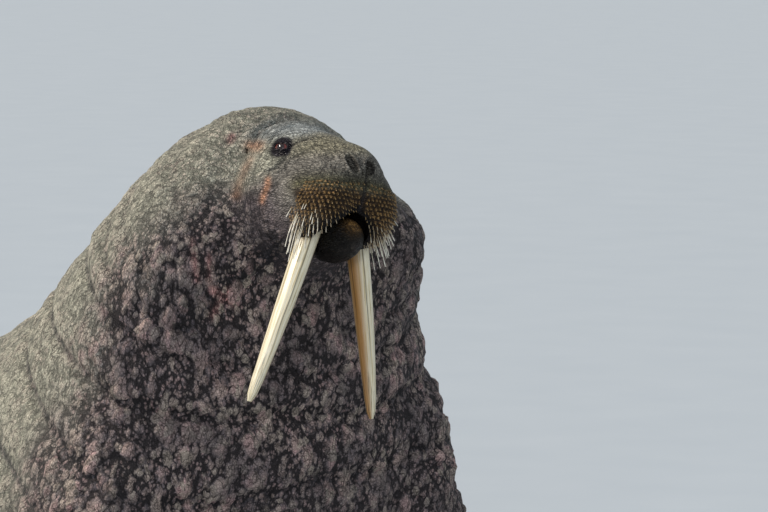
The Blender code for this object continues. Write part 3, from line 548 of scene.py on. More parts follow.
def foldSkin(mesh):
    points = readPoints(mesh)
    along, angle, metres, _ = trunkPlace(points)
    offHead = smooth(0.16, 0.22, np.linalg.norm(toHead(points) - (0.07, 0, -0.09), axis=1))
    offFloor = smooth(0.10, 0.25, points[:, 2])
    offArm = 1 - 0.7 * smooth(0.40, 0.46, np.abs(points[:, 1])) * (points[:, 2] < 0.5)
    change = foldAmount(along, angle, metres)[0] * offHead * offFloor * offArm
    writePoints(mesh, points + readNormals(mesh) * change[:, None])


# eyes: centre, radius and gaze in the head's frame, then the opening of the lids
eyes = {
    "centre": (0.000, 0.079, -0.009),
    "radius": 0.024,
    "gaze": (0.32, 0.93, 0.17),
    "half": 0.0168,
    "upper": 0.0072,
    "lower": 0.0058,
    "rise": 0.0052,
}
# pits: centre, the way their length runs, half length, half width, depth, raised edge
pits = {
    "nostrilLeft": ((0.171, 0.007, -0.055), (-0.30, 0.20, 0.92), 0.0175, 0.0105, 0.026, 0.0030),
    "nostrilRight": ((0.160, -0.031, -0.051), (-0.38, -0.32, 0.87), 0.0215, 0.0086, 0.026, 0.0035),
    "noseSlit": ((0.175, -0.012, -0.072), (-0.15, 0.0, 1.0), 0.0110, 0.0020, 0.006, 0.0010),
    "earLeft": ((-0.068, 0.128, -0.008), (0.5, 0.2, -0.8), 0.0080, 0.0040, 0.010, 0.0015),
    "earRight": ((-0.066, -0.131, -0.010), (0.5, -0.2, -0.8), 0.0080, 0.0040, 0.010, 0.0015),
}


def eyeAxes(side):
    x, y, z = eyes["gaze"]
    out = unit((x, side * y, z))
    up = unit(np.array((0.10, 0, 1.0)) - out * np.dot(out, (0.10, 0, 1.0)))
    return out, np.cross(up, out) * side, up


def shapeEye(local, side):
    out, along, up = eyeAxes(side)
    x, y, z = eyes["centre"]
    q = local - np.array((x, side * y, z))
    a, b, c = q @ along, q @ up, q @ out
    away = np.sqrt((a / eyes["half"]) ** 2 + (b / np.where(b > 0, eyes["upper"], eyes["lower"])) ** 2)
    reach = np.linalg.norm(q, axis=1)
    near = (c > 0.004) & (np.hypot(a, b) < 0.040)
    floor = eyes["radius"] - 0.005
    rim = eyes["radius"] + eyes["rise"]
    target = floor + (rim - floor) * smooth(0.80, 1.12, away)
    target -= 0.0018 * np.exp(-(((away - 1.75) / 0.14) ** 2))
    target -= 0.0012 * np.exp(-(((away - 2.45) / 0.16) ** 2))
    weight = 1 - smooth(0.024, 0.036, np.hypot(a, b * 1.25))
    change = np.where(near, weight * (target - reach) / np.maximum(reach, 1e-6), 0)
    return local + q * change[:, None]


def pressPit(local, normals, pit):
    centre, along, half, wide, deep, lip = pit
    along = unit(along)
    q = local - np.array(centre)
    lengthways = q @ along
    rest = q - lengthways[:, None] * along
    sideways = np.linalg.norm(rest - (np.sum(rest * normals, axis=1))[:, None] * normals, axis=1)
    away = np.sqrt((lengthways / half) ** 2 + (sideways / wide) ** 2)
    near = np.linalg.norm(q, axis=1) < half * 2.2
    depth = deep * np.sqrt(np.clip(1 - away**2, 0, 1))
    edge = lip * np.exp(-(((away - 1.35) / 0.35) ** 2))
    return local + np.where(near, edge - depth, 0)[:, None] * normals


# creases of the head, in its frame, on the right side: path, depth, half width, and the swelling beside them
creases = {
    "napeFold": (
        ((-0.072, -0.005, 0.080), (-0.071, -0.034, 0.071), (-0.072, -0.074, 0.055), (-0.072, -0.094, 0.043),
         (-0.067, -0.110, 0.023), (-0.064, -0.123, 0.004)),
        0.0060, 0.0050, 0.0020,
    ),
    "hoodFold": (
        ((-0.082, -0.005, 0.085), (-0.084, -0.043, 0.077), (-0.090, -0.071, 0.072), (-0.093, -0.102, 0.055),
         (-0.095, -0.131, 0.031), (-0.096, -0.147, 0.012), (-0.099, -0.164, -0.003)),
        0.0055, 0.0055, 0.0025,
    ),
    "browFold": (
        ((-0.028, -0.103, 0.005), (-0.030, -0.093, 0.020), (-0.032, -0.080, 0.032), (-0.035, -0.058, 0.045),
         (-0.040, -0.036, 0.054), (-0.043, -0.010, 0.058)),
        0.0035, 0.0035, 0.0016,
    ),
    "underEye": (
        ((0.028, -0.094, -0.016), (0.026, -0.104, -0.036), (0.021, -0.118, -0.053), (0.003, -0.128, -0.062)),
        0.0040, 0.0045, 0.0016,
    ),
    "snoutRidge": (
        ((0.029, -0.089, -0.005), (0.042, -0.075, 0.006), (0.052, -0.058, 0.011), (0.065, -0.043, 0.010),
         (0.095, -0.028, 0.004), (0.125, -0.022, -0.010)),
        0.0022, 0.0030, 0.0010,
    ),
    "snoutSide": (
        ((0.053, -0.083, -0.027), (0.071, -0.062, -0.009), (0.098, -0.045, -0.006), (0.127, -0.036, -0.016)),
        0.0022, 0.0030, 0.0010,
    ),
    "padTop": (
        ((0.112, -0.109, -0.078), (0.140, -0.070, -0.061), (0.152, -0.050, -0.062)),
        0.0018, 0.0040, 0.0008,
    ),
    "padDimple": (
        ((0.151, -0.090, -0.095), (0.162, -0.068, -0.096), (0.164, -0.045, -0.090)),
        0.0022, 0.0035, 0.0008,
    ),
    "lipNotch": (
        ((0.168, 0.0, -0.066), (0.172, 0.0, -0.080), (0.172, 0.0, -0.100), (0.166, 0.0, -0.125),
         (0.150, 0.0, -0.146)),
        0.0065, 0.0050, 0.0010,
    ),
}


# how far each point lies from a path of straight pieces
def pathDistance(points, path):
    best = np.full(len(points), 9.0)
    for start, end in zip(path[:-1], path[1:]):
        start, end = np.array(start), np.array(end)
        run = end - start
        t = np.clip(((points - start) @ run) / (run @ run), 0, 1)
        best = np.minimum(best, np.linalg.norm(points - start - t[:, None] * run, axis=1))
    return best


def creaseAmount(local, side):
    change = np.zeros(len(local))
    for path, depth, half, bulge in creases.values():
        spots = [(x, -side * y, z) for x, y, z in path]
        away = pathDistance(local, spots)
        start = np.linalg.norm(local - spots[0], axis=1)
        end = np.linalg.norm(local - spots[-1], axis=1)
        fade = smooth(-0.5 * half, 3 * half, end)
        if abs(spots[0][1]) > 0.012:
            fade = fade * smooth(-0.5 * half, 3 * half, start)
        groove = np.exp(-((away / half) ** 2)) * depth * fade
        change += bulge * np.exp(-(((away - 2.4 * half) / (1.2 * half)) ** 2)) - groove
    return change


# how far inside a crease each point lies, which sets the painted shade in the creases
def creaseDepth(local):
    groove = np.zeros(len(local))
    for path, depth, half, _ in creases.values():
        for way in (1, -1):
            spots = [np.array((x, way * y, z)) * (1 - 0.8 * depth / math.hypot(x, y, z)) for x, y, z in path]
            inside = np.exp(-((pathDistance(local, spots) / (0.75 * half)) ** 2))
            groove = np.maximum(groove, inside * min(1, depth / 0.0035))
    return groove


def nearEyes(local, reach):
    x, y, z = eyes["centre"]
    spots = [(x, side * y, z) for side, _ in sides]
    return np.min([np.linalg.norm(local - spot, axis=1) for spot in spots], axis=0) < reach


def detailFace(mesh):
    refine(mesh, faceDistance(readPoints(mesh)) < 0.19)
    relax(mesh, 2, 0.5 * (faceDistance(readPoints(mesh)) < 0.185))
    local = toHead(readPoints(mesh))
    chosen = nearEyes(local, 0.038)
    for centre, _, half, _, _, _ in pits.values():
        chosen |= np.linalg.norm(local - centre, axis=1) < half * 1.5
    overPads = np.linalg.norm((local - (0.085, 0, -0.125)) / (0.105, 0.135, 0.085), axis=1) < 1
    chosen |= overPads & (local[:, 0] > 0.045)
    refine(mesh, chosen)
    relax(mesh, 2, 0.4 * nearEyes(toHead(readPoints(mesh)), 0.036))
    local = toHead(readPoints(mesh))
    normals = readNormals(mesh) @ headTurn
    change = np.where(local[:, 1] < 0, creaseAmount(local, -1), creaseAmount(local, 1))
    writePoints(mesh, toWorld(local + normals * change[:, None]))
    for side, _ in sides:
        writePoints(mesh, toWorld(shapeEye(toHead(readPoints(mesh)), side)))
    for pit in pits.values():
        local = toHead(readPoints(mesh))
        writePoints(mesh, toWorld(pressPit(local, readNormals(mesh) @ headTurn, pit)))


# adds one node: its inputs, each a plain value or another node's output, the output wanted, and its settings
def addNode(tree, kind, inputs, output=0, **settings):
    node = tree.nodes.new(kind)
    stops = settings.pop("stops", ())
    for key, value in settings.items():
        setattr(node, key, value)
    for i, (place, colour) in enumerate(stops):
        if i == len(node.color_ramp.elements):
            node.color_ramp.elements.new(1.0)
        node.color_ramp.elements[i].position = place
        node.color_ramp.elements[i].color = colour
    for key, value in inputs.items():
        if isinstance(value, bpy.types.NodeSocket):
            tree.links.new(value, node.inputs[key])
        else:
            node.inputs[key].default_value = value
    return node.outputs[output]


def newMaterial(name):
    material = bpy.data.materials.new(name)
    material.use_nodes = True
    return material, material.node_tree, material.node_tree.nodes["Principled BSDF"]


# the linear colour of an sRGB hex value
def colourOf(code):
    parts = [int(code[i : i + 2], 16) / 255 for i in (1, 3, 5)]
    return (*(c / 12.92 if c <= 0.04045 else ((c + 0.055) / 1.055) ** 2.4 for c in parts), 1.0)


# cobbled hide of an old bull: rounded bosses of many sizes, drawn out along the body, with dark gaps between
cobbles = {
    "large": 0.036,  # metres between large bosses
    "small": 0.0165,
    "tiny": 0.0080,  # these are drawn by the material only
    "stretch": 0.62,  # 1 is round, less is longer along the body
    "largeHeight": 0.0125,
    "smallHeight": 0.0050,
    "wander": 0.55,
}


# the same nodes shape the mesh and colour it, so the tops and the gaps fall in the same places
def cobbleNodes(tree, lie, size):
    scale = (1 / size, 1 / size, cobbles["stretch"] / size)
    place = addNode(tree, "ShaderNodeVectorMath", {0: lie, 1: scale}, operation="MULTIPLY")
    drift = addNode(tree, "ShaderNodeTexNoise", {"Vector": place, "Scale": 0.8, "Detail": 3.0}, "Color")
    drift = addNode(tree, "ShaderNodeVectorMath", {0: drift, 1: (0.5, 0.5, 0.5)}, operation="SUBTRACT")
    drift = addNode(
        tree, "ShaderNodeVectorMath", {0: drift, "Scale": cobbles["wander"] * 2}, operation="SCALE"
    )
    place = addNode(tree, "ShaderNodeVectorMath", {0: place, 1: drift}, operation="ADD")
    gap = addNode(tree, "ShaderNodeTexVoronoi", {"Vector": place, "Scale": 1.0}, "Distance")
    cell = addNode(tree, "ShaderNodeTexVoronoi", {"Vector": place, "Scale": 1.0}, "Color")
    chance = addNode(tree, "ShaderNodeSeparateXYZ", {0: cell}, 0)
    reach = addNode(tree, "ShaderNodeMath", {0: chance, 1: 0.36, 2: 0.34}, operation="MULTIPLY_ADD")
    away = addNode(tree, "ShaderNodeMath", {0: gap, 1: reach}, operation="DIVIDE")
    away = addNode(tree, "ShaderNodeMath", {0: away, 1: 2.2}, operation="POWER")
    dome = addNode(tree, "ShaderNodeMath", {0: 1.0, 1: away}, operation="SUBTRACT", use_clamp=True)
    tall = addNode(tree, "ShaderNodeMath", {0: chance, 1: 0.72, 2: 0.28}, operation="MULTIPLY_ADD")
    height = addNode(tree, "ShaderNodeMath", {0: dome, 1: tall}, operation="MULTIPLY")
    return height, dome, chance


def cobbleTree():
    tree = bpy.data.node_groups.new("cobbled hide", "GeometryNodeTree")
    tree.is_modifier = True
    sockets = tree.interface
    sockets.new_socket("Geometry", in_out="OUTPUT", socket_type="NodeSocketGeometry")
    sockets.new_socket("Geometry", in_out="INPUT", socket_type="NodeSocketGeometry")
    for name in ("Large height", "Small height"):
        sockets.new_socket(name, in_out="INPUT", socket_type="NodeSocketFloat")
    given = tree.nodes.new("NodeGroupInput")
    lie = addNode(tree, "GeometryNodeInputNamedAttribute", {"Name": "lie"}, data_type="FLOAT_VECTOR")
    cobble = addNode(tree, "GeometryNodeInputNamedAttribute", {"Name": "cobble"}, data_type="FLOAT")
    boss = addNode(tree, "GeometryNodeInputNamedAttribute", {"Name": "boss"}, data_type="FLOAT")
    normal = addNode(tree, "GeometryNodeInputNormal", {})
    large = cobbleNodes(tree, lie, cobbles["large"])[0]
    small = cobbleNodes(tree, lie, cobbles["small"])[0]
    large = addNode(
        tree, "ShaderNodeMath", {0: large, 1: given.outputs["Large height"]}, operation="MULTIPLY"
    )
    large = addNode(tree, "ShaderNodeMath", {0: large, 1: boss}, operation="MULTIPLY")
    small = addNode(
        tree, "ShaderNodeMath", {0: small, 1: given.outputs["Small height"]}, operation="MULTIPLY"
    )
    total = addNode(tree, "ShaderNodeMath", {0: large, 1: small}, operation="ADD")
    total = addNode(tree, "ShaderNodeMath", {0: total, 1: cobble}, operation="MULTIPLY")
    shift = addNode(tree, "ShaderNodeVectorMath", {0: normal, "Scale": total}, operation="SCALE")
    moved = addNode(
        tree, "GeometryNodeSetPosition", {"Geometry": given.outputs["Geometry"], "Offset": shift}
    )
    tree.links.new(moved, tree.nodes.new("NodeGroupOutput").inputs[0])
    return tree


# adds a Geometry Nodes modifier with its inputs set by name, and turns the result into plain mesh
def runTree(obj, tree, values):
    change = obj.modifiers.new(tree.name, "NODES")
    change.node_group = tree
    for item in tree.interface.items_tree:
        if item.in_out == "INPUT" and item.name in values:
            change[item.identifier] = values[item.name]
    settle(obj)


def store(mesh, name, kind, values):
    layer = mesh.attributes.new(name, kind, "POINT")
    field = {"FLOAT": "value", "FLOAT_VECTOR": "vector", "FLOAT_COLOR": "color"}[kind]
    layer.data.foreach_set(field, np.ascontiguousarray(values, dtype=np.float32).ravel())


# whiskers: rows of follicles over each pad, seen from a point inside it, and the bristles that they carry
whiskers = {
    "middle": (0.070, 0.050, -0.115),
    "rows": (13, -68, 5.2),  # angle of the first row, of the last, and between rows, in degrees
    "columns": (-24, 66, 5.6),  # from past the midline round to the side
    "moundRadius": 0.0046,
    "moundHeight": 0.0026,
    "thickness": 0.00085,
    "sink": 0.004,
    "patch": 0.003,  # of the unwrap, for one bristle
    "seed": 7,
}


def insideOf(local, mass, grow=1.0):
    centre, radii = mass
    return np.linalg.norm((np.asarray(local) - centre) / (np.asarray(radii) * grow)) < 1


def findRoots(obj):
    tree = BVHTree.FromObject(obj, bpy.context.evaluated_depsgraph_get())
    draw = random.Random(whiskers["seed"])
    first, last, step = whiskers["rows"]
    start, end, gap = whiskers["columns"]
    roots = []
    for side, _ in sides:
        x, y, z = whiskers["middle"]
        middle = headFrame @ Vector((x, side * y, z))
        for row in range(int((first - last) / step) + 1):
            tilt = first - row * step
            reach = end + 0.75 * abs(min(tilt, 0))
            pitch = gap / math.cos(math.radians(tilt) * 0.8)
            count = int((reach - start) / pitch)
            for column in range(count):
                swing = start + (column + 0.5 * (row % 2)) * pitch + draw.uniform(-0.8, 0.8)
                back, rise = math.radians(swing), math.radians(tilt + draw.uniform(-0.8, 0.8))
                way = Vector(
                    (math.cos(back) * math.cos(rise), side * math.sin(back) * math.cos(rise), math.sin(rise))
                )
                way = headTurnMatrix @ way
                spot, normal, _, _ = tree.ray_cast(middle + way * 0.3, -way)
                local = headFrame.inverted() @ spot
                chance = draw.random()
                if insideOf(local, head["mouth"], 1.04) or insideOf(local, head["chin"], 1.1):
                    continue
                if local.y * side < 0.006:
                    continue
                if (spot - middle).length > 0.15 or normal.z < -0.86:
                    continue
                # long bristles stand only low on the outer edge, and few of them
                outer = float(smooth(0.42, 0.86, column / count))
                lower = float(1 - smooth(-46, -2, tilt))
                length = 0.0026 + 0.006 * lower**2 + 0.030 * outer * lower
                if outer * lower > 0.15 and chance < 0.62:
                    length = 0.004
                roots.append((spot, normal, length * (0.60 + 0.6 * chance), swing, tilt, side))
    return roots


def nearRoots(points, roots):
    tree = KDTree(len(roots))
    for i, root in enumerate(roots):
        tree.insert(root[0], i)
    tree.balance()
    away = np.full(len(points), 9.0)
    near = np.nonzero(np.linalg.norm(toHead(points) - (0.07, 0, -0.12), axis=1) < 0.16)[0]
    for i in near:
        away[i] = tree.find(points[i])[2]
    return away


# markings of the hide, as regions over the body; each is a colour by its sRGB value
hide = {
    "wetNeck": "#6f6566",  # dark grey-brown, the shaded and wet side of the neck
    "dryAndLitBack": "#aaa896",  # pale grey-beige on top, where the hide has dried, and partly painted light from above
    # the top of the head, paler and bluer: partly painted light from above
    "crown": "#a9adaa",
    "muzzle": "#827d74",
    "snout": "#958f79",
    "olive": "#605c45",
    "padGround": "#37291a",
    "mound": "#a5804f",
    "lip": "#14100f",
    "lid": "#1f1a22",
    "rust": "#cf9470",
    "scar": "#b98580",
    "flipper": "#57504d",
    "belly": "#6a5850",
    "chin": "#15120d",
    # orange-brown of the chin's knob, partly a painted highlight
    "knobAndHighlight": "#9a7444",
    # painted shade: laid in the creases and folds, and in the corner behind the tusk roots
    "groove": "#33343a",
    # painted shade for the insides of the nostrils and ears
    "pit": "#060505",
}
# marks that run along a path, in the head's frame or from the nape: path and half width
marks = {
    "rust": (
        (((-0.049, 0.120, 0.002), (-0.060, 0.122, 0.000)), 0.012),
        (((-0.050, 0.134, -0.031), (-0.052, 0.150, -0.065), (-0.057, 0.162, -0.109)), 0.007),
        (((0.010, 0.132, -0.080), (0.013, 0.134, -0.092), (0.000, 0.138, -0.123)), 0.006),
    ),
    # a dark patch at the mouth corner behind the tusk roots: wet hide, and partly painted shadow
    "wetAndShadedCorner": (
        (((0.208, -0.113, 0.919), (0.167, -0.124, 0.898), (0.133, -0.190, 0.836)), 0.028),
        (((0.144, -0.159, 0.871), (0.095, -0.304, 0.757)), 0.034),
    ),
    "scar": (
        (((0.095, -0.272, 0.932), (0.103, -0.273, 0.887), (0.108, -0.269, 0.849)), 0.007),
        (((0.114, -0.243, 0.901), (0.116, -0.247, 0.845)), 0.005),
        (((0.119, -0.239, 0.828), (0.125, -0.218, 0.812), (0.132, -0.187, 0.792)), 0.008),
        (((0.129, -0.205, 0.826), (0.125, -0.218, 0.812), (0.119, -0.237, 0.773)), 0.008),
        (((0.062, -0.150, 1.134), (0.058, -0.142, 1.142)), 0.009),
    ),
}


def paintSkin(mesh, roots):
    points = readPoints(mesh)
    local = toHead(points)
    side = np.abs(local[:, 1])
    along, angle, metres, lie = trunkPlace(points)
    grain = np.array([noise.noise(Vector(p) * 9.0) for p in points])
    grain = grain + 0.5 * np.array([noise.noise(Vector(p) * 31.0) for p in points])
    fromFace = np.linalg.norm(local - (0.045, 0, -0.085), axis=1)
    fromMuzzle = np.linalg.norm((local - (0.095, 0, -0.09)) * (0.95, 0.85, 1.0), axis=1)
    onFace = 1 - smooth(0.108, 0.150, fromMuzzle + 0.012 * grain)
    offLimb = smooth(0.16, 0.30, points[:, 2])

    # the upper side of the body and head is laid paler: dried hide, and partly painted light from above
    turn = np.abs(angle) + 0.16 * grain
    pale = 1 - smooth(1.25, 1.75, turn - 0.05 * np.clip(along - 1, 0, 4))
    pale = np.where(along < 1.2, np.maximum(pale, smooth(-0.04, 0.03, local[:, 2] + 0.02 * grain)), pale)
    paint = np.empty((len(points), 4))
    paint[:] = colourOf(hide["wetNeck"])

    def lay(code, amount):
        nonlocal paint
        paint = paint + (np.array(colourOf(code)) - paint) * np.clip(amount, 0, 1)[:, None]

    lay(hide["belly"], smooth(6, 10, along) * 0.8)
    lay(hide["dryAndLitBack"], pale * (1 - 0.35 * smooth(7, 11, along)))
    lay(hide["flipper"], (1 - offLimb) * (np.abs(points[:, 1]) > 0.3))
    # the top of the head laid paler again: partly painted light from above
    lay(hide["crown"], (1 - smooth(0.16, 0.24, fromFace)) * smooth(-0.01, 0.04, local[:, 2]))
    for path, half in marks["rust"]:
        away = np.minimum(pathDistance(local, path), pathDistance(local, [(x, -y, z) for x, y, z in path]))
        lay(hide["rust"], np.exp(-((away / (1.35 * half)) ** 2)) * (1.0 + 0.9 * grain))
    # painted shadow, with wet hide, in the corner behind the tusk roots
    for path, half in marks["wetAndShadedCorner"]:
        away = pathDistance(points - (napeX, 0, 0), path)
        lay(hide["groove"], np.exp(-((away / half) ** 2)) * (0.72 + 0.6 * grain))
    for path, half in marks["scar"]:
        away = pathDistance(points - (napeX, 0, 0), path)
        lay(hide["scar"], np.exp(-((away / half) ** 2)) * (0.8 + 0.8 * grain))
    lay(hide["muzzle"], onFace)
    onSnout = smooth(-0.045, -0.005, local[:, 2] + 0.012 * grain) * smooth(-0.02, 0.03, local[:, 0])
    lay(hide["snout"], onFace * onSnout)
    x, _, z = whiskers["middle"]
    q = local - (x, 0, z)
    sideTurn = np.degrees(np.arctan2(np.maximum(side - 0.035, 0), q[:, 0] + 0.004))
    padZone = 1 - smooth(70, 84, sideTurn - 225 * np.minimum(q[:, 2], 0))
    padZone = smooth(0.026, 0.010, q[:, 2]) * padZone * onFace * (local[:, 0] > 0.02)
    oliveZone = np.exp(-(((q[:, 2] - 0.020) / 0.022) ** 2)) * onFace * smooth(0.05, 0.10, local[:, 0])
    lay(hide["olive"], oliveZone)
    lay(hide["padGround"], padZone * smooth(0.020, -0.004, q[:, 2]))
    away = nearRoots(points, roots)
    mound = smooth(whiskers["moundRadius"], 0.0, away)
    lay(hide["mound"], mound * (0.85 + 0.5 * grain) * (0.45 + 0.55 * smooth(-0.10, -0.04, q[:, 2])))
    (mx, my, mz), mr = head["mouth"]
    fromMouth = (np.linalg.norm((local - (mx, my, mz)) / mr, axis=1) - 1) * min(mr)
    (cx, cy, cz), cr = head["chin"]
    fromChin = (np.linalg.norm((local - (cx, cy, cz)) / cr, axis=1) - 1) * min(cr)
    lip = 1 - smooth(0.006, 0.020, fromMouth + 0.003 * grain)
    lay(hide["lip"], lip * (local[:, 0] > 0.0))
    lay(hide["lip"], 0.85 * padZone * smooth(-0.048, -0.088, q[:, 2] + 0.006 * grain))
    chin = 1 - smooth(0.001, 0.004, fromChin)
    lay(hide["chin"], chin * (fromMouth < 0.02))
    # the front top of the chin is laid orange-brown: the knob's own colour, and partly a painted highlight
    knobAndHighlight = np.exp(-((np.linalg.norm(local - (cx + 0.060, cy - 0.004, cz + 0.028), axis=1) / 0.020) ** 2))
    lay(hide["knobAndHighlight"], chin * knobAndHighlight)
    lid = np.zeros(len(points))
    for way, _ in sides:
        out, lengthways, up = eyeAxes(way)
        x, y, z = eyes["centre"]
        q = local - np.array((x, way * y, z))
        a, b, c = q @ lengthways, q @ up, q @ out
        ring = (1 - smooth(0.72, 1.12, np.hypot(a / 0.0300, b / 0.0280))) * (c > 0)
        lid = np.maximum(lid, ring)
    lay(hide["lid"], lid)
    # the nostrils and ear openings are painted near black: painted shade inside the pits
    for centre, lengthways, half, wide, _, _ in pits.values():
        q = local - centre
        a = q @ unit(lengthways)
        away = np.hypot(a / half, np.linalg.norm(q - a[:, None] * unit(lengthways), axis=1) / (wide * 1.25))
        lay(hide["pit"], 1 - smooth(0.80, 1.15, away))
    # the creases and neck folds are darkened: painted shade in them
    lay(hide["groove"], 0.75 * np.maximum(creaseDepth(local), foldAmount(along, angle, metres)[1]))
    store(mesh, "markings", "FLOAT_COLOR", paint)
    store(mesh, "lie", "FLOAT_VECTOR", lie)
    store(mesh, "headPlace", "FLOAT_VECTOR", local)
    offFace = smooth(0.150, 0.215, np.linalg.norm(local - (0.045, 0, -0.085), axis=1))
    back = 1 - smooth(6.0, 10.0, along)
    cheek = smooth(0.030, -0.030, local[:, 0] + 0.30 * (local[:, 2] + 0.10))
    cheek = cheek * smooth(-0.010, -0.060, local[:, 2])
    offFace = np.maximum(offFace, 0.65 * cheek * (1 - onFace))
    cobble = offFace * (0.18 + 0.82 * back) * offLimb * (1 - 0.52 * pale)
    store(mesh, "cobble", "FLOAT", cobble)
    store(mesh, "boss", "FLOAT", smooth(1.2, 4.2, along) * (1 - 0.55 * pale) + 0.10)
    store(mesh, "face", "FLOAT", 1 - smooth(0.140, 0.200, fromFace))
    wet = np.maximum(np.maximum(lip, lid), chin)
    store(mesh, "wet", "FLOAT", np.clip(wet, 0, 1))
    return mound * whiskers["moundHeight"]


# the hollow under the lip, and the chin in it
def makeMouth(obj):
    combine(obj, ellipsoid("mouth", *head["mouth"], 0, headFrame, 72, 44), "DIFFERENCE")
    combine(obj, ellipsoid("chin", *head["chin"], 0, headFrame, 72, 44), "UNION")
    local = toHead(readPoints(obj.data))
    centre, radii = head["mouth"]
    edge = np.abs(np.linalg.norm((local - centre) / radii, axis=1) - 1) * min(radii)
    relax(obj.data, 6, 0.5 * (1 - smooth(0.004, 0.010, edge)))


def cutAtFloor(obj):
    shape = bmesh.new()
    shape.from_mesh(obj.data)
    everything = list(shape.verts) + list(shape.edges) + list(shape.faces)
    made = bmesh.ops.bisect_plane(
        shape, geom=everything, plane_co=(0, 0, 0), plane_no=(0, 0, -1), clear_outer=True, dist=1e-6
    )
    rim = [e for e in made["geom_cut"] if isinstance(e, bmesh.types.BMEdge)]
    bmesh.ops.holes_fill(shape, edges=rim, sides=0)
    bmesh.ops.triangulate(shape, faces=[f for f in shape.faces if len(f.verts) > 4])
    shape.to_mesh(obj.data)
    shape.free()


def keepLargest(obj):
    shape = bmesh.new()
    shape.from_mesh(obj.data)
    left = set(shape.verts)
    groups = []
    while left:
        first = left.pop()
        group, front = {first}, [first]
        while front:
            for edge in front.pop().link_edges:
                for vert in edge.verts:
                    if vert in left:
                        left.discard(vert)
                        group.add(vert)
                        front.append(vert)
        groups.append(group)
    best = max(groups, key=len)
    bmesh.ops.delete(shape, geom=[v for v in shape.verts if v not in best], context="VERTS")
    shape.to_mesh(obj.data)
    shape.free()


# the low parts beside the chest and behind the rump, which are the flippers
def onLimbs(points):
    beside = (np.abs(points[:, 1]) > 0.40) & (points[:, 0] > 0.5)
    return (points[:, 2] < 0.16) & (beside | (points[:, 0] < -1.0))


def makeSkin():
    flesh = makeFlesh()
    print("flesh blended:", countTriangles(flesh.data), "triangles")
    foldSkin(flesh.data)
    cutAtFloor(flesh)
    points = readPoints(flesh.data)
    along = trunkPlace(points)[0]
    rear = (along > skin["rearStart"]) | ((points[:, 2] < 0.30) & (np.abs(points[:, 1]) < 0.40))
    thinOut(flesh, rear & ~onLimbs(points), skin["torsoTriangles"])
    thinOut(flesh, onLimbs(readPoints(flesh.data)), skin["flipperTriangles"])
    print("rear and flippers thinned:", countTriangles(flesh.data), "triangles")
    detailFace(flesh.data)
    makeMouth(flesh)
    keepLargest(flesh)
    print("face shaped:", countTriangles(flesh.data), "triangles")
    roots = findRoots(flesh)
    mounds = paintSkin(flesh.data, roots)
    writePoints(flesh.data, readPoints(flesh.data) + readNormals(flesh.data) * mounds[:, None])
    heights = {"Large height": cobbles["largeHeight"], "Small height": cobbles["smallHeight"]}
    runTree(flesh, cobbleTree(), heights)
    points = readPoints(flesh.data)
    points[:, 2] = np.maximum(points[:, 2], 0)
    writePoints(flesh.data, points)
    flesh.data.shade_smooth()
    print("skin made:", countTriangles(flesh.data), "triangles,", len(roots), "whiskers to come")
    return flesh, roots


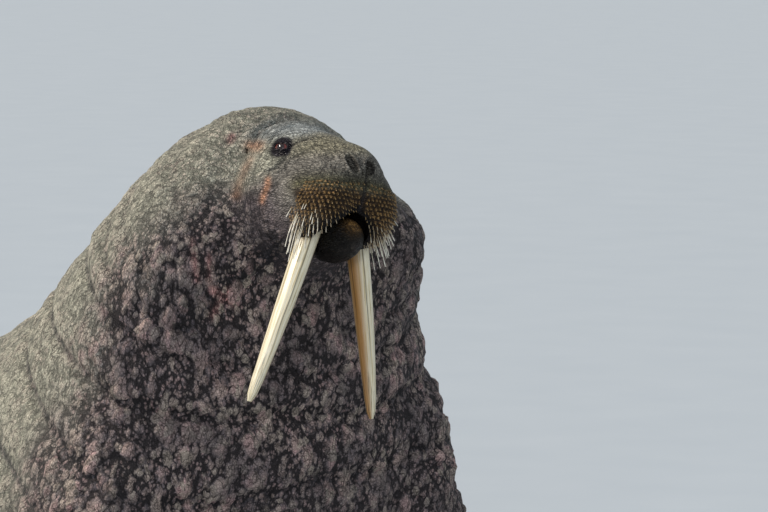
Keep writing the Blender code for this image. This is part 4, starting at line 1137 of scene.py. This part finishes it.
# thick walrus hide, grown and scarred in life: nearly bare, matt and dry on top, slicker where it stays wet
def walrusHide():
    material, tree, shader = newMaterial("walrusHide")
    paint = addNode(tree, "ShaderNodeAttribute", {}, "Color", attribute_name="markings")
    lie = addNode(tree, "ShaderNodeAttribute", {}, "Vector", attribute_name="lie")
    headPlace = addNode(tree, "ShaderNodeAttribute", {}, "Vector", attribute_name="headPlace")
    cobble = addNode(tree, "ShaderNodeAttribute", {}, "Fac", attribute_name="cobble")
    boss = addNode(tree, "ShaderNodeAttribute", {}, "Fac", attribute_name="boss")
    face = addNode(tree, "ShaderNodeAttribute", {}, "Fac", attribute_name="face")
    wet = addNode(tree, "ShaderNodeAttribute", {}, "Fac", attribute_name="wet")
    height, dome, _ = cobbleNodes(tree, lie, cobbles["large"])
    fineHeight, fineDome, fineChance = cobbleNodes(tree, lie, cobbles["small"])
    tinyHeight, tinyDome, _ = cobbleNodes(tree, lie, cobbles["tiny"])

    # the tops of the bosses rub pale pink, most of all on the dark side of the neck
    top = addNode(
        tree, "ShaderNodeMapRange",
        {0: height, 1: 0.15, 2: 0.60, 3: 0.0, 4: 0.9}, interpolation_type="SMOOTHSTEP",
    )
    top = addNode(tree, "ShaderNodeMath", {0: top, 1: boss}, operation="MULTIPLY")
    for scaleHeight, most in ((fineHeight, 0.80), (tinyHeight, 0.62)):
        raised = addNode(
            tree, "ShaderNodeMapRange",
            {0: scaleHeight, 1: 0.15, 2: 0.65, 3: 0.0, 4: most}, interpolation_type="SMOOTHSTEP",
        )
        top = addNode(tree, "ShaderNodeMath", {0: top, 1: raised}, operation="MAXIMUM")
    top = addNode(tree, "ShaderNodeMath", {0: top, 1: cobble}, operation="MULTIPLY")
    patch = addNode(tree, "ShaderNodeTexNoise", {"Vector": lie, "Scale": 9.0, "Detail": 5.0}, "Fac")
    patch = addNode(
        tree, "ShaderNodeMapRange",
        {0: patch, 1: 0.36, 2: 0.62, 3: 0.30, 4: 1.0}, interpolation_type="SMOOTHSTEP",
    )
    top = addNode(tree, "ShaderNodeMath", {0: top, 1: patch}, operation="MULTIPLY")
    pinkOrBeige = addNode(
        tree, "ShaderNodeMix",
        {0: fineChance, 6: colourOf("#bd9c97"), 7: colourOf("#b3a596")}, 2, data_type="RGBA",
    )
    colour = addNode(tree, "ShaderNodeMix", {0: top, 6: paint, 7: pinkOrBeige}, 2, data_type="RGBA")

    # the gaps between bosses, and wrinkles 3 to 8 mm apart, go nearly black: painted shade in these recesses
    cover = addNode(tree, "ShaderNodeMath", {0: dome, 1: boss}, operation="MULTIPLY")
    cover = addNode(tree, "ShaderNodeMath", {0: cover, 1: fineDome}, operation="MAXIMUM")
    cover = addNode(tree, "ShaderNodeMath", {0: tinyDome, 1: 0.55, 2: cover}, operation="MULTIPLY_ADD")
    gap = addNode(
        tree, "ShaderNodeMapRange",
        {0: cover, 1: 0.05, 2: 0.60, 3: 0.88, 4: 0.0}, interpolation_type="SMOOTHSTEP",
    )
    gap = addNode(tree, "ShaderNodeMath", {0: gap, 1: cobble}, operation="MULTIPLY")
    slant = addNode(
        tree, "ShaderNodeMapping",
        {"Vector": headPlace, "Rotation": (0, math.radians(-40), 0), "Scale": (0.40, 1.0, 1.0)},
    )
    creased = addNode(tree, "ShaderNodeVectorMath", {0: lie, 1: (1.0, 1.0, 0.45)}, operation="MULTIPLY")
    creased = addNode(tree, "ShaderNodeMix", {0: face, 4: creased, 5: slant}, 1, data_type="VECTOR")
    creased = addNode(tree, "ShaderNodeTexNoise", {"Vector": creased, "Scale": 75.0, "Detail": 4.0}, "Fac")
    creased = addNode(tree, "ShaderNodeMath", {0: creased, 1: 0.5}, operation="SUBTRACT")
    creased = addNode(tree, "ShaderNodeMath", {0: creased}, operation="ABSOLUTE")
    creased = addNode(
        tree, "ShaderNodeMapRange",
        {0: creased, 1: 0.0, 2: 0.045, 3: 0.66, 4: 0.0}, interpolation_type="SMOOTHSTEP",
    )
    gap = addNode(tree, "ShaderNodeMath", {0: gap, 1: creased}, operation="MAXIMUM")
    # painted shade, nearly black, in the gaps and wrinkles
    colour = addNode(
        tree, "ShaderNodeMix", {0: gap, 6: colour, 7: colourOf("#221e1e")}, 2, data_type="RGBA"
    )

    # fine grain of the hide: 5 mm plates over all of it, drawn out to slanting lines on the muzzle
    plates = addNode(
        tree, "ShaderNodeTexVoronoi",
        {"Vector": lie, "Scale": 190.0}, "Distance", feature="DISTANCE_TO_EDGE",
    )
    shaken = addNode(
        tree, "ShaderNodeTexNoise", {"Vector": headPlace, "Scale": 60.0, "Detail": 3.0}, "Color"
    )
    shaken = addNode(tree, "ShaderNodeVectorMath", {0: shaken, "Scale": 0.010}, operation="SCALE")
    shaken = addNode(tree, "ShaderNodeVectorMath", {0: headPlace, 1: shaken}, operation="ADD")
    slant = addNode(
        tree, "ShaderNodeMapping",
        {"Vector": shaken, "Rotation": (0, math.radians(-40), 0), "Scale": (75.0, 150.0, 230.0)},
    )
    lines = addNode(
        tree, "ShaderNodeTexVoronoi",
        {"Vector": slant, "Scale": 1.0}, "Distance", feature="DISTANCE_TO_EDGE",
    )
    grainHeight = addNode(tree, "ShaderNodeMix", {0: face, 2: plates, 3: lines}, 0, data_type="FLOAT")
    grainHeight = addNode(
        tree, "ShaderNodeMapRange",
        {0: grainHeight, 1: 0.0, 2: 0.26, 3: 0.0, 4: 1.0}, interpolation_type="SMOOTHSTEP",
    )
    darkest = addNode(tree, "ShaderNodeMapRange", {0: face, 1: 0.0, 2: 1.0, 3: 0.62, 4: 0.50})
    shade = addNode(tree, "ShaderNodeMapRange", {0: grainHeight, 1: 0.0, 2: 1.0, 3: darkest, 4: 1.10})
    mottle = addNode(tree, "ShaderNodeTexNoise", {"Vector": headPlace, "Scale": 42.0, "Detail": 6.0}, "Fac")
    mottle = addNode(tree, "ShaderNodeMapRange", {0: mottle, 1: 0.25, 2: 0.75, 3: 0.62, 4: 1.36})
    shade = addNode(tree, "ShaderNodeMath", {0: shade, 1: mottle}, operation="MULTIPLY")
    colour = addNode(tree, "ShaderNodeVectorMath", {0: colour, "Scale": shade}, operation="SCALE")
    tree.links.new(colour, shader.inputs["Base Color"])

    rough = addNode(tree, "ShaderNodeMapRange", {0: wet, 1: 0.0, 2: 1.0, 3: 0.66, 4: 0.42})
    rough = addNode(tree, "ShaderNodeMath", {0: rough, 1: mottle}, operation="MULTIPLY")
    tree.links.new(rough, shader.inputs["Roughness"])

    relief = addNode(tree, "ShaderNodeMapRange", {0: face, 1: 0.0, 2: 1.0, 3: 0.0010, 4: 0.0024})
    relief = addNode(tree, "ShaderNodeMath", {0: grainHeight, 1: relief}, operation="MULTIPLY")
    for scaleHeight, most in ((fineHeight, 0.0045), (tinyHeight, 0.0032)):
        raised = addNode(tree, "ShaderNodeMath", {0: scaleHeight, 1: most}, operation="MULTIPLY")
        relief = addNode(
            tree, "ShaderNodeMath", {0: raised, 1: cobble, 2: relief}, operation="MULTIPLY_ADD"
        )
    relief = addNode(tree, "ShaderNodeMath", {0: creased, 1: -0.0034, 2: relief}, operation="MULTIPLY_ADD")
    bump = addNode(tree, "ShaderNodeBump", {"Strength": 0.9, "Distance": 1.0, "Height": relief}, "Normal")
    tree.links.new(bump, shader.inputs["Normal"])
    shader.inputs["IOR"].default_value = 1.38
    shader.inputs["Specular IOR Level"].default_value = 0.28
    return material


body, roots = makeSkin()
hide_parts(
    "head", "muzzle", "lower_jaw", "neck", "chest", "torso", "hindquarters", "tail",
    "fore_flipper_left", "fore_flipper_right", "hind_flipper_left", "hind_flipper_right",
)
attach(body, "root")

body.data.materials.clear()
body.data.materials.append(walrusHide())
print("hide made")

# tusks: a pair of long upper canines, oval across, nearly straight, with worn blunt tips
tusks = {
    "root": (0.0745, 0.0470, -0.128),
    "lean": (-5.5, 15.5),
    "length": 0.440,
    "radii": (0.0265, 0.0205),
    "taper": ((0, 1), (0.15, 1.03), (0.5, 0.86), (0.72, 0.70), (0.9, 0.54), (0.965, 0.42), (1, 0.18)),
    "bend": -0.018,
    "rings": 110,
    "lanes": 96,
    # cracks: where round the tusk in turns, and start and end along it
    "cracks": ((0.06, 0.02, 0.80), (0.27, 0.0, 0.62), (0.42, 0.10, 0.95), (0.78, 0.0, 0.70)),
    "crackDepth": 0.0010,
    "flutes": 0.0010,
}


def makeTusk(side, word):
    back, out = (math.tan(math.radians(v)) for v in tusks["lean"])
    axis = unit((back, side * out, -1))
    fore = unit(np.array((1, 0, 0)) - axis * axis[0])
    aside = np.cross(axis, fore)
    root = np.array((tusks["root"][0], side * tusks["root"][1], tusks["root"][2]))
    parts, scales = zip(*tusks["taper"])
    rings, grain, inner, crack = [], [], [], []
    for i in range(tusks["rings"]):
        t = math.sin(math.pi / 2 * i / (tusks["rings"] - 1)) ** 1.15
        scale = float(np.interp(t, parts, scales))
        middle = root + axis * tusks["length"] * t + fore * tusks["bend"] * t * t
        ring = []
        for j in range(tusks["lanes"]):
            turn = j / tusks["lanes"]
            angle = 2 * math.pi * turn
            split = 0.0
            for place, start, end in tusks["cracks"]:
                wave = place + 0.012 * noise.noise(Vector((t * 6, place * 20, side * 3.0)))
                gap = abs((turn - wave + 0.5) % 1 - 0.5) * 0.15
                fade = float(smooth(start, start + 0.08, t) * (1 - smooth(end - 0.2, end, t)))
                split = max(split, math.exp(-((gap / 0.0011) ** 2)) * fade)
            flute = noise.noise(Vector((math.cos(angle) * 3, math.sin(angle) * 3, t * 1.5 + side)))
            wear = flute * tusks["flutes"] - split * tusks["crackDepth"]
            spot = fore * (tusks["radii"][0] * scale + wear) * math.cos(angle)
            spot = spot + aside * (tusks["radii"][1] * scale + wear) * math.sin(angle)
            ring.append(tuple(headFrame @ Vector(middle + spot)))
            grain.append((math.cos(angle), math.sin(angle), t))
            inner.append(0.5 - 0.5 * side * unit(spot)[1])
            crack.append(split)
        rings.append(ring)
    obj = closedLoft("tuskIvory_" + word, rings)
    ends = [(0, 0, 0), (0, 0, 1)]
    store(obj.data, "grain", "FLOAT_VECTOR", grain + ends)
    store(obj.data, "inner", "FLOAT", inner + [0.5, 0.5])
    store(obj.data, "crack", "FLOAT", crack + [0, 0])
    obj.data.shade_smooth()
    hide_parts("tusk_" + word)
    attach(obj, "root")
    return obj


# walrus ivory: dense dentine, cream and faintly waxy, yellowed on the inner side, with dark checks along it
def walrusIvory():
    material, tree, shader = newMaterial("walrusIvory")
    grain = addNode(tree, "ShaderNodeAttribute", {}, "Vector", attribute_name="grain")
    inner = addNode(tree, "ShaderNodeAttribute", {}, "Fac", attribute_name="inner")
    crack = addNode(tree, "ShaderNodeAttribute", {}, "Fac", attribute_name="crack")
    along = addNode(tree, "ShaderNodeSeparateXYZ", {0: grain}, "Z")
    # streaks 1 to 3 mm wide that run most of the tusk's length
    drawn = addNode(tree, "ShaderNodeVectorMath", {0: grain, 1: (1.0, 1.0, 0.7)}, operation="MULTIPLY")
    streak = addNode(tree, "ShaderNodeTexNoise", {"Vector": drawn, "Scale": 6.5, "Detail": 6.0}, "Fac")
    tint = addNode(
        tree, "ShaderNodeValToRGB",
        {0: streak}, "Color",
        stops=(
            (0.28, colourOf("#8a7449")), (0.42, colourOf("#d5c59c")), (0.55, colourOf("#e9e2cb")),
            (0.75, colourOf("#cdbb8c")),
        ),
    )
    stain = addNode(
        tree, "ShaderNodeMapRange",
        {0: inner, 1: 0.62, 2: 0.98, 3: 0.0, 4: 0.9}, interpolation_type="SMOOTHSTEP",
    )
    tint = addNode(tree, "ShaderNodeMix", {0: stain, 6: tint, 7: colourOf("#a4702c")}, 2, data_type="RGBA")
    rootStain = addNode(
        tree, "ShaderNodeMapRange",
        {0: along, 1: 0.04, 2: 0.22, 3: 0.45, 4: 0.0}, interpolation_type="SMOOTHSTEP",
    )
    tint = addNode(
        tree, "ShaderNodeMix", {0: rootStain, 6: tint, 7: colourOf("#8d6a33")}, 2, data_type="RGBA"
    )
    hair = addNode(tree, "ShaderNodeTexNoise", {"Vector": drawn, "Scale": 11.0, "Detail": 1.0}, "Fac")
    hair = addNode(tree, "ShaderNodeMath", {0: hair, 1: 0.5}, operation="SUBTRACT")
    hair = addNode(tree, "ShaderNodeMath", {0: hair}, operation="ABSOLUTE")
    hair = addNode(tree, "ShaderNodeMapRange", {0: hair, 1: 0.0, 2: 0.012, 3: 0.35, 4: 0.0})
    dark = addNode(tree, "ShaderNodeMath", {0: crack, 1: hair}, operation="MAXIMUM")
    tint = addNode(tree, "ShaderNodeMix", {0: dark, 6: tint, 7: colourOf("#2a2014")}, 2, data_type="RGBA")
    # grit from the beach, in specks near the tip
    speck = addNode(tree, "ShaderNodeTexNoise", {"Vector": grain, "Scale": 9.0, "Detail": 5.0}, "Fac")
    speck = addNode(tree, "ShaderNodeMapRange", {0: speck, 1: 0.56, 2: 0.62, 3: 0.0, 4: 1.0})
    nearTip = addNode(
        tree, "ShaderNodeMapRange",
        {0: along, 1: 0.62, 2: 0.95, 3: 0.0, 4: 0.8}, interpolation_type="SMOOTHSTEP",
    )
    speck = addNode(tree, "ShaderNodeMath", {0: speck, 1: nearTip}, operation="MULTIPLY")
    tint = addNode(tree, "ShaderNodeMix", {0: speck, 6: tint, 7: colourOf("#3a342b")}, 2, data_type="RGBA")
    tree.links.new(tint, shader.inputs["Base Color"])
    rough = addNode(tree, "ShaderNodeMapRange", {0: streak, 1: 0.3, 2: 0.7, 3: 0.42, 4: 0.28})
    tree.links.new(rough, shader.inputs["Roughness"])
    relief = addNode(tree, "ShaderNodeMath", {0: streak, 1: 0.0006, 2: 0.0}, operation="MULTIPLY_ADD")
    bump = addNode(tree, "ShaderNodeBump", {"Strength": 0.8, "Distance": 1.0, "Height": relief}, "Normal")
    tree.links.new(bump, shader.inputs["Normal"])
    shader.inputs["IOR"].default_value = 1.54
    return material


ivory = walrusIvory()
for side, word in sides:
    makeTusk(side, word).data.materials.append(ivory)
print("tusks made")


# eyes: a ball with the clear bulge of the cornea, looking out between the lids
eyeball = {"cornea": 0.0085, "bulge": 0.0012}


def makeEye(side, word):
    x, y, z = eyes["centre"]
    centre = np.array((x, side * y, z))
    out = eyeAxes(side)[0]
    obj = ellipsoid("eyeBall_" + word, tuple(centre), (eyes["radius"],) * 3, 0, headFrame, 96, 64)
    points = toHead(readPoints(obj.data)) - centre
    ahead = points @ out
    off = np.linalg.norm(points - ahead[:, None] * out, axis=1)
    front = ahead > 0
    lift = eyeball["bulge"] * np.clip(1 - (off / eyeball["cornea"]) ** 2, 0, 1) * front
    points = points * (1 + lift / eyes["radius"])[:, None]
    writePoints(obj.data, toWorld(points + centre))
    store(obj.data, "offGaze", "FLOAT", np.where(front, off * 1000, 40.0))
    obj.data.shade_smooth()
    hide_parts("eye_" + word)
    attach(obj, "root")
    return obj


# wet eye: tear film over a dark brown iris, the white stained red-brown and bloodshot
def wetEye():
    material, tree, shader = newMaterial("wetEye")
    off = addNode(tree, "ShaderNodeAttribute", {}, "Fac", attribute_name="offGaze")
    place = addNode(tree, "ShaderNodeTexCoord", {}, "Object")
    wander = addNode(tree, "ShaderNodeTexNoise", {"Vector": place, "Scale": 260.0, "Detail": 3.0}, "Fac")
    off = addNode(tree, "ShaderNodeMath", {0: wander, 1: 1.6, 2: off}, operation="MULTIPLY_ADD")
    off = addNode(tree, "ShaderNodeMapRange", {0: off, 1: 0.0, 2: 16.0, 3: 0.0, 4: 1.0})
    tint = addNode(
        tree, "ShaderNodeValToRGB",
        {0: off}, "Color",
        stops=(
            (0.26, colourOf("#050304")), (0.34, colourOf("#2a1411")), (0.55, colourOf("#190c0b")),
            (0.66, colourOf("#4c1c18")), (0.90, colourOf("#7a3028")),
        ),
    )
    tree.links.new(tint, shader.inputs["Base Color"])
    vein = addNode(tree, "ShaderNodeMapRange", {0: wander, 1: 0.3, 2: 0.7, 3: 0.04, 4: 0.12})
    tree.links.new(vein, shader.inputs["Roughness"])
    shader.inputs["IOR"].default_value = 1.38
    shader.inputs["Coat Weight"].default_value = 1.0
    shader.inputs["Coat Roughness"].default_value = 0.03
    return material


eyeWet = wetEye()
for side, word in sides:
    makeEye(side, word).data.materials.append(eyeWet)
print("eyes made")


# whisker keratin: stiff translucent bristles, cream, yellower and worn at the tip
def whiskerKeratin():
    material, tree, shader = newMaterial("whiskerKeratin")
    along = addNode(tree, "ShaderNodeAttribute", {}, "Fac", attribute_name="hairAlong")
    place = addNode(tree, "ShaderNodeTexCoord", {}, "Object")
    vary = addNode(tree, "ShaderNodeTexNoise", {"Vector": place, "Scale": 90.0, "Detail": 2.0}, "Fac")
    along = addNode(tree, "ShaderNodeMath", {0: vary, 1: 0.3, 2: along}, operation="MULTIPLY_ADD")
    tint = addNode(
        tree, "ShaderNodeValToRGB",
        {0: along}, "Color",
        stops=((0.10, colourOf("#8b7650")), (0.45, colourOf("#c9bfa4")), (1.0, colourOf("#e6e1d2"))),
    )
    reach = addNode(tree, "ShaderNodeAttribute", {}, "Fac", attribute_name="reach")
    stub = addNode(tree, "ShaderNodeMapRange", {0: reach, 1: 0.009, 2: 0.016, 3: 1.0, 4: 0.0})
    tint = addNode(tree, "ShaderNodeMix", {0: stub, 6: tint, 7: colourOf("#8f7448")}, 2, data_type="RGBA")
    tree.links.new(tint, shader.inputs["Base Color"])
    rough = addNode(tree, "ShaderNodeMapRange", {0: vary, 1: 0.3, 2: 0.7, 3: 0.34, 4: 0.5})
    tree.links.new(rough, shader.inputs["Roughness"])
    shader.inputs["IOR"].default_value = 1.55
    return material


# each bristle is a bent taper: a line stood on every root, bent by what the root carries, and thickened
def bristleTree(material):
    tree = bpy.data.node_groups.new("whisker bristles", "GeometryNodeTree")
    tree.is_modifier = True
    sockets = tree.interface
    sockets.new_socket("Geometry", in_out="OUTPUT", socket_type="NodeSocketGeometry")
    sockets.new_socket("Geometry", in_out="INPUT", socket_type="NodeSocketGeometry")
    for name in ("Thickness", "Taper"):
        sockets.new_socket(name, in_out="INPUT", socket_type="NodeSocketFloat")
    given = tree.nodes.new("NodeGroupInput")
    carried = {}
    vectors = {name: "FLOAT_VECTOR" for name in ("root", "way", "droop")}
    for name, kind in {**vectors, "reach": "FLOAT"}.items():
        carried[name] = addNode(tree, "GeometryNodeInputNamedAttribute", {"Name": name}, data_type=kind)
    line = addNode(tree, "GeometryNodeCurvePrimitiveLine", {"Start": (0, 0, 0), "End": (0, 0, 1)})
    line = addNode(tree, "GeometryNodeResampleCurve", {"Curve": line, "Count": 7})
    stood = addNode(
        tree, "GeometryNodeInstanceOnPoints", {"Points": given.outputs["Geometry"], "Instance": line}
    )
    hairs = addNode(tree, "GeometryNodeRealizeInstances", {"Geometry": stood})
    place = addNode(tree, "GeometryNodeInputPosition", {})
    lift = addNode(tree, "ShaderNodeVectorMath", {0: place, 1: carried["root"]}, operation="SUBTRACT")
    t = addNode(tree, "ShaderNodeSeparateXYZ", {0: lift}, "Z")
    hairs = addNode(
        tree, "GeometryNodeStoreNamedAttribute",
        {"Geometry": hairs, "Name": "hairAlong", "Value": t}, data_type="FLOAT", domain="POINT",
    )
    t = addNode(tree, "GeometryNodeInputNamedAttribute", {"Name": "hairAlong"}, data_type="FLOAT")
    ahead = addNode(tree, "ShaderNodeMath", {0: t, 1: carried["reach"]}, operation="MULTIPLY")
    ahead = addNode(tree, "ShaderNodeVectorMath", {0: carried["way"], "Scale": ahead}, operation="SCALE")
    sag = addNode(tree, "ShaderNodeMath", {0: t, 1: t}, operation="MULTIPLY")
    sag = addNode(tree, "ShaderNodeMath", {0: sag, 1: carried["reach"]}, operation="MULTIPLY")
    sag = addNode(tree, "ShaderNodeVectorMath", {0: carried["droop"], "Scale": sag}, operation="SCALE")
    bent = addNode(tree, "ShaderNodeVectorMath", {0: carried["root"], 1: ahead}, operation="ADD")
    bent = addNode(tree, "ShaderNodeVectorMath", {0: bent, 1: sag}, operation="ADD")
    hairs = addNode(tree, "GeometryNodeSetPosition", {"Geometry": hairs, "Position": bent})
    thin = addNode(tree, "ShaderNodeMath", {0: t, 1: given.outputs["Taper"]}, operation="MULTIPLY")
    thin = addNode(tree, "ShaderNodeMath", {0: 1.0, 1: thin}, operation="SUBTRACT")
    hairs = addNode(tree, "GeometryNodeSetCurveRadius", {"Curve": hairs, "Radius": thin})
    ring = addNode(
        tree, "GeometryNodeCurvePrimitiveCircle", {"Resolution": 5, "Radius": given.outputs["Thickness"]}
    )
    solid = addNode(
        tree, "GeometryNodeCurveToMesh", {"Curve": hairs, "Profile Curve": ring, "Fill Caps": True}
    )
    solid = addNode(tree, "GeometryNodeRealizeInstances", {"Geometry": solid})
    solid = addNode(tree, "GeometryNodeSetMaterial", {"Geometry": solid, "Material": material})
    tree.links.new(solid, tree.nodes.new("NodeGroupOutput").inputs[0])
    return tree


def makeWhiskers(roots):
    draw = random.Random(whiskers["seed"] + 1)
    mesh = bpy.data.meshes.new("whiskers")
    spots, ways, droops, reaches, places = [], [], [], [], []
    for spot, normal, length, swing, tilt, side in roots:
        down = Vector((draw.uniform(-0.10, 0.10), draw.uniform(-0.10, 0.10), -1.0))
        way = (normal * 0.75 + down * (0.35 + 12 * length)).normalized()
        spots.append(spot - way * whiskers["sink"] + normal * whiskers["moundHeight"] * 0.6)
        ways.append(way)
        droops.append(down * 0.28)
        reaches.append(length + whiskers["sink"])
        places.append((0.5 + side * (0.02 + 0.0035 * (swing + 30)), 0.5 + 0.0045 * tilt))
    mesh.from_pydata([tuple(s) for s in spots], [], [])
    store(mesh, "root", "FLOAT_VECTOR", [tuple(s) for s in spots])
    store(mesh, "way", "FLOAT_VECTOR", [tuple(w) for w in ways])
    store(mesh, "droop", "FLOAT_VECTOR", [tuple(d) for d in droops])
    store(mesh, "reach", "FLOAT", reaches)
    store(mesh, "unwrapPlace", "FLOAT_VECTOR", [(u, v, 0) for u, v in places])
    obj = bpy.data.objects.new("whiskers", mesh)
    bpy.context.scene.collection.objects.link(obj)
    keratin = whiskerKeratin()
    runTree(obj, bristleTree(keratin), {"Thickness": whiskers["thickness"], "Taper": 0.62})
    mesh = obj.data
    place = np.empty(len(mesh.vertices) * 3)
    mesh.attributes["unwrapPlace"].data.foreach_get("vector", place)
    along = np.empty(len(mesh.vertices))
    mesh.attributes["hairAlong"].data.foreach_get("value", along)
    patch = whiskers["patch"] * np.stack(((np.arange(len(along)) % 5) / 4, along), axis=1)
    uv = place.reshape(-1, 3)[:, :2] + patch
    layer = mesh.uv_layers.new(name="OFBake")
    corners = np.empty(len(mesh.loops), int)
    mesh.loops.foreach_get("vertex_index", corners)
    layer.data.foreach_set("uv", uv[corners].astype(np.float32).ravel())
    mesh.shade_smooth()
    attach(obj, "root")
    print("whiskers made:", len(roots), "bristles,", countTriangles(mesh), "triangles")


makeWhiskers(roots)

# claws: a small one on the back of each digit, larger on the three middle digits of the hind flippers
claws = {
    "foreHand": ((0.80, 0.020, 0.0050),) * 5,
    "hindHand": ((0.84, 0.014, 0.0040), *((0.80, 0.030, 0.0055),) * 3, (0.84, 0.014, 0.0040)),
}


def makeClaw(root, way, length, half):
    across = way.cross(Vector((0, 0, 1))).normalized()
    rings = []
    for t in np.linspace(0, 1, 9):
        width = half * (1 - t**2.2) ** 0.5 + 0.0003
        height = half * 0.62 * (1 - t**1.6) + 0.0003
        lift = Vector((0, 0, 0.0012 - 0.004 * (1 - t) + 0.001 * t))
        middle = root + way * (length * t * 1.05 - 0.010 * (1 - t)) + lift
        ring = []
        for j in range(12):
            a = 2 * math.pi * j / 12
            ring.append(tuple(middle + across * width * math.cos(a) + Vector((0, 0, height * math.sin(a)))))
        rings.append(ring)
    return closedLoft("claw", rings)


def makeClaws(obj):
    tree = BVHTree.FromObject(obj, bpy.context.evaluated_depsgraph_get())
    made = []
    for side, _ in sides:
        for name, joints in (("foreHand", limbs["foreArm"]), ("hindHand", hindJoints(side))):
            sizes = limbs[name]
            wrist = wristPlace(joints, side)
            ahead, aside = handAxes(sizes, side)
            opening = sizes["tip"] - sizes["root"]
            for i, (part, length, half) in enumerate(claws[name]):
                lane = min(0.92, max(-0.92, 2 * i / (len(claws[name]) - 1) - 1))
                spread = sizes["root"] + opening * part**0.8
                reach = part * sizes["length"] * sizes["digits"][i] - limbs["back"]
                spot = wrist + ahead * reach + aside * lane * spread
                root = tree.ray_cast((spot.x, spot.y, 0.3), (0, 0, -1))[0]
                way = (ahead * sizes["length"] + aside * lane * opening * 0.8).normalized()
                made.append(makeClaw(root, way, length, half))
    return joinAll("claws", made)


# horn of the claws: dark keratin plate, grown in fine lengthwise ribs, scuffed paler
def clawHorn():
    material, tree, shader = newMaterial("clawHorn")
    place = addNode(tree, "ShaderNodeTexCoord", {}, "Object")
    scuff = addNode(tree, "ShaderNodeTexNoise", {"Vector": place, "Scale": 220.0, "Detail": 5.0}, "Fac")
    tint = addNode(
        tree, "ShaderNodeValToRGB",
        {0: scuff}, "Color", stops=((0.35, colourOf("#1d1713")), (0.70, colourOf("#6b5a48"))),
    )
    tree.links.new(tint, shader.inputs["Base Color"])
    rough = addNode(tree, "ShaderNodeMapRange", {0: scuff, 1: 0.3, 2: 0.7, 3: 0.3, 4: 0.55})
    tree.links.new(rough, shader.inputs["Roughness"])
    relief = addNode(tree, "ShaderNodeMath", {0: scuff, 1: 0.0004}, operation="MULTIPLY")
    bump = addNode(tree, "ShaderNodeBump", {"Strength": 0.6, "Distance": 1.0, "Height": relief}, "Normal")
    tree.links.new(bump, shader.inputs["Normal"])
    shader.inputs["IOR"].default_value = 1.55
    return material


clawPiece = makeClaws(body)
clawPiece.data.shade_smooth()
clawPiece.data.materials.append(clawHorn())
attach(clawPiece, "root")
print("claws made")

# floor and light
floorMesh = bpy.data.meshes.new("floor")
floorMesh.from_pydata([(-120, -120, 0), (120, -120, 0), (120, 120, 0), (-120, 120, 0)], [], [(0, 1, 2, 3)])
floor = bpy.data.objects.new("floor", floorMesh)
bpy.context.scene.collection.objects.link(floor)


# studio floor: matt pale paint, rolled, with a barely seen mottle
def floorPaint():
    material, tree, shader = newMaterial("floorPaint")
    place = addNode(tree, "ShaderNodeTexCoord", {}, "Object")
    mottle = addNode(tree, "ShaderNodeTexNoise", {"Vector": place, "Scale": 3.0, "Detail": 3.0}, "Fac")
    tint = addNode(
        tree, "ShaderNodeMix",
        {0: mottle, 6: colourOf("#adb6be"), 7: colourOf("#b5bdc4")}, 2, data_type="RGBA",
    )
    tree.links.new(tint, shader.inputs["Base Color"])
    shader.inputs["Roughness"].default_value = 0.85
    return material


floorMesh.materials.append(floorPaint())

world = bpy.data.worlds.new("studio")
bpy.context.scene.world = world
world.use_nodes = True
world.node_tree.nodes["Background"].inputs["Color"].default_value = colourOf("#dce6ef")
world.node_tree.nodes["Background"].inputs["Strength"].default_value = 0.60

# lamps: kind, place it shines from, size (metres, or degrees for the broad one), strength and colour
lamps = {
    "key": ("SUN", (-1.5, -3.3, 4.2), 9, 3.4, "#fff4e8"),
    "front": ("AREA", (4.0, -3.0, 2.2), 1.0, 34, "#f4f7ff"),
}
for name, (kind, place, size, power, tone) in lamps.items():
    lamp = bpy.data.lights.new(name, kind)
    if kind == "SUN":
        lamp.angle = math.radians(size)
    else:
        lamp.shape = "DISK"
        lamp.size = size
    lamp.energy = power
    lamp.color = colourOf(tone)[:3]
    obj = bpy.data.objects.new(name, lamp)
    bpy.context.scene.collection.objects.link(obj)
    obj.location = place
    obj.rotation_euler = (Vector((0.9, -0.1, 0.9)) - Vector(place)).to_track_quat("-Z", "Y").to_euler()
bpy.context.scene.view_settings.view_transform = "Standard"
print("light set")
